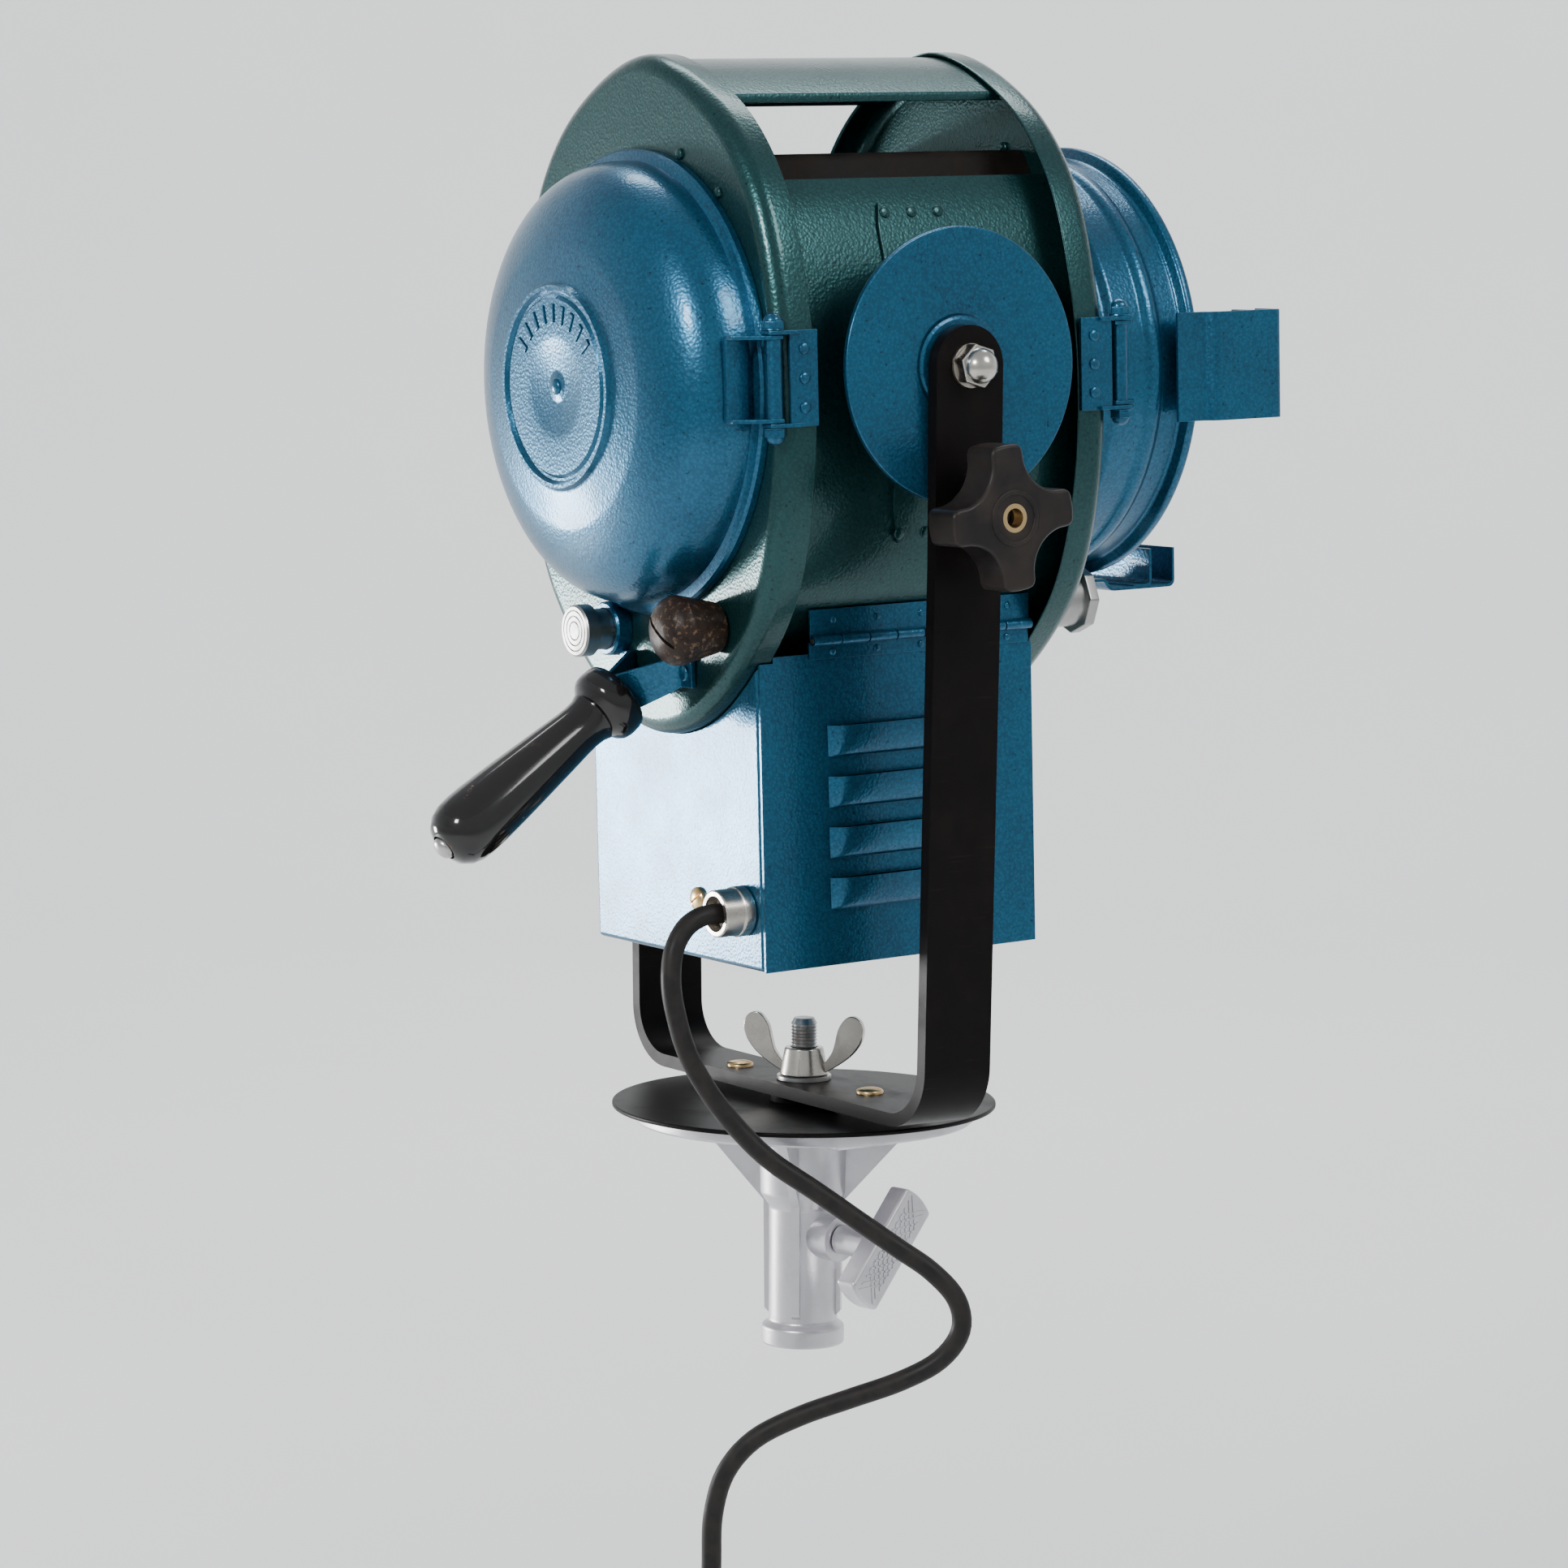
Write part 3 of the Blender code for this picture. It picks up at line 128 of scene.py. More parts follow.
RAIL_Z = -0.1280  # the rails the lamp carriage slides on
RAIL_R = 0.004
SWITCH_X = 0.027
SWITCH_Z = -0.117
GLAND_X = -0.054
GLAND_Z = -0.2375
HANDLE_X = -0.008
HANDLE_SLOPE = radians(33.6)  # downwards from the rear plate
GRIP_L = 0.108

CORD_R = 0.0045
COIL_MID_R = 0.050
COIL_CENTRE = (-0.0605, 0.118, -0.1695)
CORD_ROUTE = (  # centreline from the gland down to the coil
    (-0.0540, 0.0800, 0.2108), (-0.0540, 0.0900, 0.2100), (-0.0542, 0.0985, 0.2055),
    (-0.0552, 0.1050, 0.1960), (-0.0570, 0.1075, 0.1830), (-0.0585, 0.1060, 0.1690),
    (-0.0605, 0.1010, 0.1510), (-0.0645, 0.0925, 0.1340), (-0.0700, 0.0815, 0.1180),
    (-0.0780, 0.0690, 0.1035), (-0.0870, 0.0510, 0.0895), (-0.0960, 0.0338, 0.0757),
    (-0.1045, 0.0195, 0.0640), (-0.1130, 0.0070, 0.0535), (-0.1195, -0.0020, 0.0410),
    (-0.1205, -0.0035, 0.0270), (-0.1155, 0.0040, 0.0140), (-0.1060, 0.0180, 0.0045),
    (-0.0940, 0.0370, -0.0035), (-0.0820, 0.0560, -0.0115), (-0.0710, 0.0725, -0.0220),
    (-0.0640, 0.0830, -0.0370), (-0.0610, 0.0875, -0.0560), (-0.0605, 0.0880, -0.0760),
    (-0.0605, 0.0878, -0.0920), (-0.0605, 0.0858, -0.1040), (-0.0605, 0.0815, -0.1150),
)


# ---- finishes ----
def new_finish(name):
    finish = bpy.data.materials.new(name)
    finish.use_nodes = True
    tree = finish.node_tree
    return finish, tree, tree.nodes["Principled BSDF"]


def add_node(tree, kind, inputs=(), **settings):
    node = tree.nodes.new(kind)
    for key, value in settings.items():
        setattr(node, key, value)
    for key, value in dict(inputs).items():
        if isinstance(value, bpy.types.NodeSocket):
            tree.links.new(value, node.inputs[key])
        else:
            node.inputs[key].default_value = value
    return node


def place_coords(tree):
    return add_node(tree, "ShaderNodeTexCoord").outputs["Object"]


def noise_value(tree, scale, detail=3.0, roughness=0.55, vector=None):
    inputs = {"Vector": vector or place_coords(tree), "Scale": scale, "Detail": detail,
              "Roughness": roughness}
    return add_node(tree, "ShaderNodeTexNoise", inputs).outputs["Fac"]


def remap(tree, value, low, high, to_low=0.0, to_high=1.0):
    inputs = {"Value": value, "From Min": low, "From Max": high, "To Min": to_low, "To Max": to_high}
    return add_node(tree, "ShaderNodeMapRange", inputs).outputs["Result"]


def feed(tree, socket, value):
    """Links a socket, or sets it to a number or a colour."""
    if isinstance(value, bpy.types.NodeSocket):
        tree.links.new(value, socket)
    elif isinstance(value, tuple):
        socket.default_value = (*value, 1.0)
    else:
        socket.default_value = value


def mix(tree, factor, first, second):
    node = add_node(tree, "ShaderNodeMix", data_type="RGBA")
    for socket, value in ((node.inputs[0], factor), (node.inputs[6], first), (node.inputs[7], second)):
        feed(tree, socket, value)
    return node.outputs[2]


def maths(tree, operation, first, second):
    return add_node(tree, "ShaderNodeMath", {0: first, 1: second}, operation=operation).outputs[0]


def bump(tree, height, distance, strength):
    inputs = {"Height": height, "Distance": distance, "Strength": strength}
    return add_node(tree, "ShaderNodeBump", inputs).outputs["Normal"]


def drive(tree, shader, **sockets):
    names = {"colour": "Base Color", "roughness": "Roughness", "metallic": "Metallic", "normal": "Normal",
             "coat": "Coat Weight", "coat_roughness": "Coat Roughness", "coat_normal": "Coat Normal",
             "specular": "Specular IOR Level", "transmission": "Transmission Weight", "ior": "IOR"}
    for key, value in sockets.items():
        feed(tree, shader.inputs[names[key]], value)


def hammertone(name, dark, light, dimple=0.0014):
    """Hammered enamel: shallow dimples with darker rims, dark specks and a gloss coat."""
    finish, tree, shader = new_finish(name)
    coords = place_coords(tree)
    wander = add_node(tree, "ShaderNodeTexNoise", {"Vector": coords, "Scale": 260.0, "Detail": 1.0})
    shift = add_node(tree, "ShaderNodeVectorMath", {0: wander.outputs["Color"], 1: (0.0012,) * 3},
                     operation="MULTIPLY")
    warped = add_node(tree, "ShaderNodeVectorMath", {0: coords, 1: shift.outputs[0]}, operation="ADD")
    cells = add_node(tree, "ShaderNodeTexVoronoi",
                     {"Vector": warped.outputs[0], "Scale": 1.0 / dimple, "Smoothness": 0.6},
                     feature="SMOOTH_F1").outputs["Distance"]
    rim = remap(tree, cells, 0.15, 0.65)
    patches = remap(tree, noise_value(tree, 22.0, 4.0), 0.3, 0.7)
    tone = maths(tree, "MULTIPLY", rim, 0.45)
    tone = maths(tree, "ADD", tone, maths(tree, "MULTIPLY", patches, 0.35))
    colour = mix(tree, tone, light, dark)
    specks = remap(tree, noise_value(tree, 520.0, 2.0, 0.5), 0.66, 0.72, 0.0, 0.7)
    colour = mix(tree, specks, colour, tuple(channel * 0.25 for channel in dark))
    drive(tree, shader, colour=colour, metallic=0.70,
          roughness=remap(tree, patches, 0.0, 1.0, 0.26, 0.34),
          normal=bump(tree, cells, 0.00016, 0.6), coat=0.25, coat_roughness=0.10,
          coat_normal=bump(tree, cells, 0.00008, 0.5))
    return finish


def painted_bar(name):
    """Satin black stove enamel with a faint brown cast and fine scratches."""
    finish, tree, shader = new_finish(name)
    coords = place_coords(tree)
    stretched = add_node(tree, "ShaderNodeMapping", {"Vector": coords, "Scale": (30.0, 30.0, 900.0)})
    scratches = remap(tree, noise_value(tree, 1.0, 6.0, 0.7, stretched.outputs[0]), 0.62, 0.70)
    patches = remap(tree, noise_value(tree, 28.0, 5.0, 0.65), 0.50, 0.72)
    colour = mix(tree, patches, (0.0062, 0.0050, 0.0048), (0.0090, 0.0070, 0.0064))
    colour = mix(tree, maths(tree, "MULTIPLY", scratches, 0.10), colour, (0.10, 0.09, 0.08))
    grain = noise_value(tree, 1400.0, 2.0)
    drive(tree, shader, colour=colour, metallic=0.1, specular=0.10,
          roughness=remap(tree, patches, 0.0, 1.0, 0.40, 0.50), normal=bump(tree, grain, 0.00004, 0.5))
    return finish


def metal(name, colour, tarnish, roughness, grain_scale=1600.0, grain=0.00003, spots=0.35, stretch=None):
    """Bare or plated metal with tarnish, fine grain and uneven gloss."""
    finish, tree, shader = new_finish(name)
    coords = place_coords(tree)
    patches = remap(tree, noise_value(tree, 60.0, 5.0, 0.6), 0.45, 0.75, 0.0, spots)
    colour = mix(tree, patches, colour, tarnish)
    if stretch is not None:
        coords = add_node(tree, "ShaderNodeMapping", {"Vector": coords, "Scale": stretch}).outputs[0]
    fine = noise_value(tree, grain_scale, 3.0, 0.6, coords)
    drive(tree, shader, colour=colour, metallic=1.0,
          roughness=remap(tree, patches, 0.0, spots, roughness, roughness + 0.18),
          normal=bump(tree, fine, grain, 0.6))
    return finish


def plain(name, colour, second, roughness, scale=40.0, grain_scale=900.0, grain=0.00004, coat=0.0,
          specular=0.5):
    """A non-metal with two tones and a fine surface grain."""
    finish, tree, shader = new_finish(name)
    patches = remap(tree, noise_value(tree, scale, 4.0, 0.6), 0.38, 0.64)
    drive(tree, shader, colour=mix(tree, patches, colour, second), specular=specular,
          roughness=remap(tree, patches, 0.0, 1.0, roughness, roughness + 0.14),
          normal=bump(tree, noise_value(tree, grain_scale, 3.0), grain, 0.6), coat=coat,
          coat_roughness=0.08)
    return finish


def lacquered_wood(name):
    """Black gloss lacquer, worn through to brown wood in spots towards the thick end."""
    finish, tree, shader = new_finish(name)
    coords = place_coords(tree)
    grain_coords = add_node(tree, "ShaderNodeMapping", {"Vector": coords, "Scale": (900.0, 120.0, 120.0)})
    grain = noise_value(tree, 1.0, 4.0, 0.6, grain_coords.outputs[0])
    wood = mix(tree, grain, (0.16, 0.070, 0.028), (0.05, 0.020, 0.008))
    worn = remap(tree, noise_value(tree, 95.0, 5.0, 0.62), 0.64, 0.68)
    far = remap(tree, add_node(tree, "ShaderNodeSeparateXYZ", {0: coords}).outputs["Y"], 0.150, 0.185)
    worn = maths(tree, "MULTIPLY", worn, far)
    colour = mix(tree, worn, (0.009, 0.008, 0.008), wood)
    drive(tree, shader, colour=colour, roughness=remap(tree, worn, 0.0, 1.0, 0.13, 0.5),
          normal=bump(tree, maths(tree, "SUBTRACT", grain, worn), 0.00005, 0.5), specular=0.40,
          coat=0.5, coat_roughness=0.06)
    return finish


def mottled(name):
    """Brown moulded resin with swirled lighter and darker streaks."""
    finish, tree, shader = new_finish(name)
    swirl = remap(tree, noise_value(tree, 130.0, 6.0, 0.7), 0.40, 0.60)
    specks = remap(tree, noise_value(tree, 420.0, 3.0, 0.6), 0.55, 0.66)
    colour = mix(tree, swirl, (0.030, 0.017, 0.011), (0.010, 0.006, 0.005))
    colour = mix(tree, maths(tree, "MULTIPLY", specks, 0.5), colour, (0.22, 0.13, 0.075))
    drive(tree, shader, colour=colour, roughness=remap(tree, swirl, 0.0, 1.0, 0.36, 0.5),
          normal=bump(tree, specks, 0.00003, 0.4), specular=0.25)
    return finish


def clear_glass(name):
    finish, tree, shader = new_finish(name)
    smudge = remap(tree, noise_value(tree, 25.0, 3.0), 0.35, 0.7, 0.02, 0.12)
    drive(tree, shader, colour=(0.93, 0.97, 0.96), roughness=smudge, transmission=1.0, ior=1.5)
    return finish


FINISH = {
    "hammer_blue": hammertone("hammer_blue", (0.0085, 0.055, 0.115), (0.0220, 0.150, 0.270)),
    "hammer_green": hammertone("hammer_green", (0.0070, 0.040, 0.044), (0.0160, 0.078, 0.080)),
    "satin_black": painted_bar("satin_black"),
    "cast_aluminium": metal("cast_aluminium", (0.68, 0.67, 0.70), (0.42, 0.41, 0.43), 0.34, 900.0, 0.00010),
    "nickel": metal("nickel", (0.62, 0.59, 0.54), (0.30, 0.27, 0.23), 0.22, spots=0.5),
    "steel": metal("steel", (0.52, 0.51, 0.50), (0.22, 0.19, 0.16), 0.30, spots=0.6),
    "brass": metal("brass", (0.70, 0.50, 0.25), (0.35, 0.22, 0.10), 0.28, spots=0.5),
    "soot_black": plain("soot_black", (0.0060, 0.0050, 0.0045), (0.0150, 0.0110, 0.0085), 0.60,
                        grain=0.0001, specular=0.20),
    "black_wood": lacquered_wood("black_wood"),
    "bakelite": mottled("bakelite"),
    "black_plastic": plain("black_plastic", (0.012, 0.010, 0.010), (0.026, 0.020, 0.017), 0.36,
                           specular=0.28),
    "grey_alloy": metal("grey_alloy", (0.42, 0.42, 0.41), (0.24, 0.23, 0.21), 0.34),
    "glass": clear_glass("glass"),
    "mirror": metal("mirror", (0.90, 0.90, 0.89), (0.75, 0.75, 0.74), 0.06, grain=0.000005),
    "ceramic": plain("ceramic", (0.72, 0.70, 0.64), (0.60, 0.57, 0.50), 0.30, coat=0.3),
    "rubber": plain("rubber", (0.014, 0.013, 0.013), (0.024, 0.021, 0.019), 0.44, 120.0, 2200.0, 0.00003,
                    specular=0.22),
}


# ---- camera, light and stage ----
CAMERA_PLACE = (-1.838, 1.219, 0.4956)
CAMERA_TURN = radians(33.3)  # from +X towards -Y
CAMERA_PITCH = radians(6.14)  # downwards
CAMERA_ROLL = radians(0.25)
CAMERA_LENS = 111.8  # millimetres, on a sensor 36 wide
LIGHTS = (  # name, place, target, size, power
    ("key", (-0.85, 1.85, 1.30), (0, 0.1, 0.46), (0.34, 0.34), 24),
    ("side", (1.57, 1.05, 0.0), (0, 0.07, 0.27), (0.40, 0.34), 24),
    ("top", (-1.9, -0.7, 1.9), (0, 0, 0.35), (0.8, 0.8), 22),
    ("backdrop", (1.6, -1.1, 3.4), (3.6, -2.4, 0.3), (2.4, 2.4), 175),
)


def build_camera():
    right = Vector((-sin(CAMERA_TURN), -cos(CAMERA_TURN), 0.0))
    ahead = Vector((cos(CAMERA_TURN), -sin(CAMERA_TURN), 0.0))
    look = ahead * cos(CAMERA_PITCH) + Vector((0, 0, -sin(CAMERA_PITCH)))
    up = right.cross(look)
    axes = Matrix((right, up, -look)).transposed().to_4x4()
    data = bpy.data.cameras.new("camera")
    data.sensor_width = 36.0
    data.lens = CAMERA_LENS
    camera = bpy.data.objects.new("camera", data)
    camera.matrix_world = Matrix.Translation(CAMERA_PLACE) @ axes @ Matrix.Rotation(CAMERA_ROLL, 4, "Z")
    bpy.context.scene.collection.objects.link(camera)
    bpy.context.scene.camera = camera


def area_light(name, place, target, size, power):
    data = bpy.data.lights.new(name, "AREA")
    data.shape = "RECTANGLE"
    data.size, data.size_y = size
    data.energy = power
    light = bpy.data.objects.new(name, data)
    light.location = place
    light.rotation_euler = (Vector(target) - Vector(place)).to_track_quat("-Z", "Y").to_euler()
    bpy.context.scene.collection.objects.link(light)


def build_stage():
    """A pale floor that sweeps up into a round wall, lit by softboxes."""
    floor_z, radius, sweep = -0.32, 5.2, 1.6
    profile = [(0.0, floor_z)]
    for step in range(17):
        angle = radians(90 * step / 16)
        profile.append((radius - sweep + sweep * sin(angle), floor_z + sweep * (1 - cos(angle))))
    profile.append((radius, 4.0))
    bm = bmesh.new()
    chain = [bm.verts.new((r, 0.0, z)) for r, z in profile]
    edges = [bm.edges.new(pair) for pair in zip(chain, chain[1:])]
    bmesh.ops.spin(bm, geom=chain + edges, cent=(0, 0, 0), axis=(0, 0, 1), angle=2 * pi, steps=96,
                   use_merge=True)
    bmesh.ops.remove_doubles(bm, verts=bm.verts, dist=1e-4)
    mesh = bpy.data.meshes.new("sweep")
    bm.to_mesh(mesh)
    bm.free()
    mesh.shade_smooth()
    sweep_obj = bpy.data.objects.new("sweep", mesh)
    bpy.context.scene.collection.objects.link(sweep_obj)
    mesh.materials.append(plain("sweep_paper", (0.80, 0.81, 0.81), (0.78, 0.79, 0.79), 0.8, 1.5, 300.0))

    world = bpy.data.worlds.new("world")
    bpy.context.scene.world = world
    world.use_nodes = True
    background = world.node_tree.nodes["Background"]
    background.inputs["Color"].default_value = (0.93, 0.96, 1.0, 1.0)
    background.inputs["Strength"].default_value = 0.50
    for light in LIGHTS:
        area_light(*light)


build_camera()
build_stage()


# ---- shapes ----
SLOT_OF = {entry["node"]: entry["material_slot"] for entry in frame["record"]["subparts"]}
BODY_OF = {node: body for body, nodes in frame["record"]["behaviour"]["bodies"].items() for node in nodes}
HEAD_BODIES = {"head", "rear_door", "front_door", "louvred_flap", "focus_drive", "switch_drive",
               "lamp_carriage"}


def put(obj, body, finish):
    """Links a piece and sets it in its frame, with its finish."""
    bpy.context.scene.collection.objects.link(obj)
    if body in HEAD_BODIES:
        obj.matrix_world = HEAD @ obj.matrix_basis
    obj.data.materials.append(FINISH[finish])


def register(obj, node):
    """The piece takes its finish and body from the CAD node it stands for."""
    put(obj, BODY_OF[node], SLOT_OF[node])
    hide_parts(node)
    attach(obj, BODY_OF[node])
    normals = obj.modifiers.new("normals", "WEIGHTED_NORMAL")
    normals.keep_sharp = True
    return obj


def place_piece(obj, body, finish):
    """A small piece with no CAD node of its own."""
    put(obj, body, finish)
    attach(obj, body)


def mesh_object(name, bm, smooth=35):
    bmesh.ops.recalc_face_normals(bm, faces=bm.faces)
    mesh = bpy.data.meshes.new(name)
    bm.to_mesh(mesh)
    bm.free()
    mesh.shade_smooth()
    mesh.set_sharp_from_angle(angle=radians(smooth))
    return bpy.data.objects.new(name, mesh)


def soften(obj, width, segments=2, angle=35):
    rounding = obj.modifiers.new("rounding", "BEVEL")
    rounding.width = width
    rounding.segments = segments
    rounding.limit_method = "ANGLE"
    rounding.angle_limit = radians(angle)
    rounding.harden_normals = False
    return obj


def turn_to(direction):
    return Vector(direction).to_track_quat("Z", "Y").to_matrix().to_4x4()


def turned(name, profile, origin, direction, steps=96, smooth=35):
    """A closed surface of revolution: (radius, height) points, from the axis or round a ring."""
    bm = bmesh.new()
    place = Matrix.Translation(Vector(origin)) @ turn_to(direction)
    rings = []
    for radius, height in profile:
        if radius < 1e-7:
            rings.append([bm.verts.new(place @ Vector((0, 0, height)))])
            continue
        rings.append([bm.verts.new(place @ Vector((radius * cos(a), radius * sin(a), height)))
                      for a in (2 * pi * k / steps for k in range(steps))])
    pairs = list(zip(rings, rings[1:]))
    if len(rings[0]) > 1 and len(rings[-1]) > 1:
        pairs.append((rings[-1], rings[0]))
    for upper, lower in pairs:
        for k in range(steps):
            j = (k + 1) % steps
            corners = [upper[k % len(upper)], upper[j % len(upper)], lower[j % len(lower)],
                       lower[k % len(lower)]]
            kept = [c for n, c in enumerate(corners) if c not in corners[:n]]
            if len(kept) > 2:
                bm.faces.new(kept)
    return mesh_object(name, bm, smooth)


def shell_profile(outer, thickness):
    """A closed thin-walled section from its outer line, which starts on the axis."""
    inner = []
    for i, point in enumerate(outer):
        before = outer[max(i - 1, 0)]
        after = outer[min(i + 1, len(outer) - 1)]
        along = Vector((after[0] - before[0], after[1] - before[1])).normalized()
        inner.append((max(point[0] + along.y * thickness, 0.0), point[1] - along.x * thickness))
    if outer[0][0] < 1e-7:
        inner[0] = (0.0, outer[0][1] - thickness)
    return list(outer) + inner[::-1]


def rounded(points, radius, arcs=4):
    """The same open line with its inner corners turned into arcs."""
    line = [Vector(p) for p in points]
    out = [line[0]]
    for before, corner, after in zip(line, line[1:], line[2:]):
        back, ahead = before - corner, after - corner
        reach = min(radius, back.length * 0.45, ahead.length * 0.45)
        start, end = corner + back.normalized() * reach, corner + ahead.normalized() * reach
        for k in range(arcs + 1):
            t = k / arcs
            out.append((1 - t) ** 2 * start + 2 * t * (1 - t) * corner + t * t * end)
    out.append(line[-1])
    return [tuple(p) for p in out]


def rod(name, start, end, radius, sides=32, end_radius=None):
    bm = bmesh.new()
    start, end = Vector(start), Vector(end)
    bmesh.ops.create_cone(bm, cap_ends=True, segments=sides, radius1=radius,
                          radius2=radius if end_radius is None else end_radius, depth=(end - start).length,
                          matrix=Matrix.Translation((start + end) / 2) @ turn_to(end - start))
    return mesh_object(name, bm)


def block(name, low, high):
    bm = bmesh.new()
    size, centre = Vector(high) - Vector(low), (Vector(high) + Vector(low)) / 2
    bmesh.ops.create_cube(bm, size=1.0, matrix=Matrix.Translation(centre) @ Matrix.Diagonal((*size, 1.0)))
    return mesh_object(name, bm)


def sheet(name, rows, thickness, closed=False, offset=-1.0):
    bm = bmesh.new()
    grid = [[bm.verts.new(point) for point in row] for row in rows]
    count = len(rows[0])
    for lower, upper in zip(grid, grid[1:]):
        for i in range(count if closed else count - 1):
            j = (i + 1) % count
            bm.faces.new((lower[i], lower[j], upper[j], upper[i]))
    mesh = bpy.data.meshes.new(name)
    bm.to_mesh(mesh)
    bm.free()
    mesh.shade_smooth()
    mesh.set_sharp_from_angle(angle=radians(40))
    obj = bpy.data.objects.new(name, mesh)
    solidify = obj.modifiers.new("sheet", "SOLIDIFY")
    solidify.thickness = thickness
    solidify.offset = offset
    solidify.use_even_offset = True
    return obj


def prism(name, outline, travel):
    bm = bmesh.new()
    face = bm.faces.new([bm.verts.new(Vector(point)) for point in outline])
    extruded = bmesh.ops.extrude_face_region(bm, geom=[face])
    moved = [item for item in extruded["geom"] if isinstance(item, bmesh.types.BMVert)]
    bmesh.ops.translate(bm, verts=moved, vec=travel)
    return mesh_object(name, bm, 40)


def bake(obj):
    """Applies the modifiers, so that later steps work on the final mesh."""
    bpy.context.view_layer.update()
    shape = obj.evaluated_get(bpy.context.evaluated_depsgraph_get())
    mesh = bpy.data.meshes.new_from_object(shape)
    obj.modifiers.clear()
    obj.data = mesh
    return obj


def combined(name, pieces, operation="UNION"):
    """One mesh from several pieces, all still unplaced, by exact Booleans."""
    first, others = pieces[0], pieces[1:]
    scene = bpy.context.scene.collection.objects
    for piece in pieces:
        scene.link(piece)
    for other in others:
        modifier = first.modifiers.new("join", "BOOLEAN")
        modifier.operation = operation
        modifier.object = other
        modifier.solver = "EXACT"
    bake(first)
    for other in others:
        bpy.data.objects.remove(other, do_unlink=True)
    scene.unlink(first)
    first.name = name
    first.data.shade_smooth()
    first.data.set_sharp_from_angle(angle=radians(35))
    return first


def merged(name, objects, smooth=35):
    """One mesh from several separate shapes that needn't be joined."""
    bm = bmesh.new()
    scene = bpy.context.scene.collection.objects
    for obj in objects:
        scene.link(obj)
        bpy.context.view_layer.update()
        mesh = bpy.data.meshes.new_from_object(obj.evaluated_get(bpy.context.evaluated_depsgraph_get()))
        mesh.transform(obj.matrix_basis)
        bm.from_mesh(mesh)
        bpy.data.objects.remove(obj, do_unlink=True)
    mesh = bpy.data.meshes.new(name)
    bm.to_mesh(mesh)
    bm.free()
    mesh.shade_smooth()
    mesh.set_sharp_from_angle(angle=radians(smooth))
    return bpy.data.objects.new(name, mesh)


def spline_points(controls, per_span, closed):
    count = len(controls)
    points = []
    for i in range(count if closed else count - 1):
        index = [i - 1, i, i + 1, i + 2]
        if closed:
            a, b, c, d = (controls[k % count] for k in index)
        else:
            a, b, c, d = (controls[min(max(k, 0), count - 1)] for k in index)
        for step in range(per_span):
            t = step / per_span
            points.append(0.5 * (2 * b + (c - a) * t + (2 * a - 5 * b + 4 * c - d) * t ** 2
                                 + (3 * b - a - 3 * c + d) * t ** 3))
    if not closed:
        points.append(controls[-1].copy())
    return points


def pear(inset, per_span=9):
    right = [Vector(point) for point in OUTLINE]
    left = [Vector((-point.x, point.y)) for point in right[-2:0:-1]]
    points = spline_points(right + left, per_span, True)
    moved = []
    for i, point in enumerate(points):
        along = (points[(i + 1) % len(points)] - points[i - 1]).normalized()
        moved.append(point + Vector((-along.y, along.x)) * -inset)
    return moved


def at_y(points, y):
    return [(point.x, y, point.y) for point in points]


def button(name, place, direction, radius, height, slotted=False):
    """A domed rivet or screw head."""
    dome = [(0.0, height)] + [(radius * sin(a), height * (0.35 + 0.65 * cos(a)))
                              for a in (radians(18 * k) for k in range(1, 6))] + [(radius, -0.0004),
                                                                                  (0.0, -0.0004)]
    head = turned(name, dome, place, direction, 28)
    if slotted:
        turn = turn_to(direction)
        across = turn @ Vector((cos(0.6), sin(0.6), 0))
        side = turn @ Vector((-sin(0.6), cos(0.6), 0))
        out = turn @ Vector((0, 0, 1))
        corners = [Vector(place) + out * (height * 0.55) + across * a * radius * 1.2 + side * b * radius * 0.11
                   for a, b in ((-1, -1), (1, -1), (1, 1), (-1, 1))]
        head = combined(name, [head, prism("slot", corners, out * height)], "DIFFERENCE")
    return head


# ---- mains lead: route, coil, plug ----
def eased(value, low, high):
    t = min(max((value - low) / (high - low), 0.0), 1.0)
    return t * t * (3 - 2 * t)


def coil_points():
    """Turns laid side by side in two layers. Angles grow anticlockwise, seen from +X."""
    pitch, layer = 0.0093, 0.0047
    arrive, turns_end = 124, 1540
    points = []
    for u in range(arrive + 4, turns_end + 90, 5):  # degrees round the coil
        inward = eased(u, 400, 455)  # outer to inner layer, first side
        first_step = eased(u, 590, 650)
        second_step = eased(u, 950, 1010)
        outward = eased(u, 1130, 1185)
        last_step = eased(u, 1310, 1370)
        x = -pitch + pitch * first_step + pitch * second_step - pitch * last_step
        radius = COIL_MID_R + layer - 2 * layer * inward + 2 * layer * outward
        entry = 1 - eased(u, arrive, arrive + 62)
        lift = radians(90 * entry)
        if entry > 0:  # the lead comes down onto the first turn from outside
            x = -pitch * cos(lift)
            radius = COIL_MID_R + layer + 0.0110 * sin(lift)
        away = eased(u, 1575, 1625)  # the last turn leaves for the plug
        radius += 0.0080 * away
        x += 0.0080 * away
        angle = radians(u)
        points.append(Vector((COIL_CENTRE[0] + x, COIL_CENTRE[1] + radius * cos(angle),
                              COIL_CENTRE[2] + radius * sin(angle))))
    return points


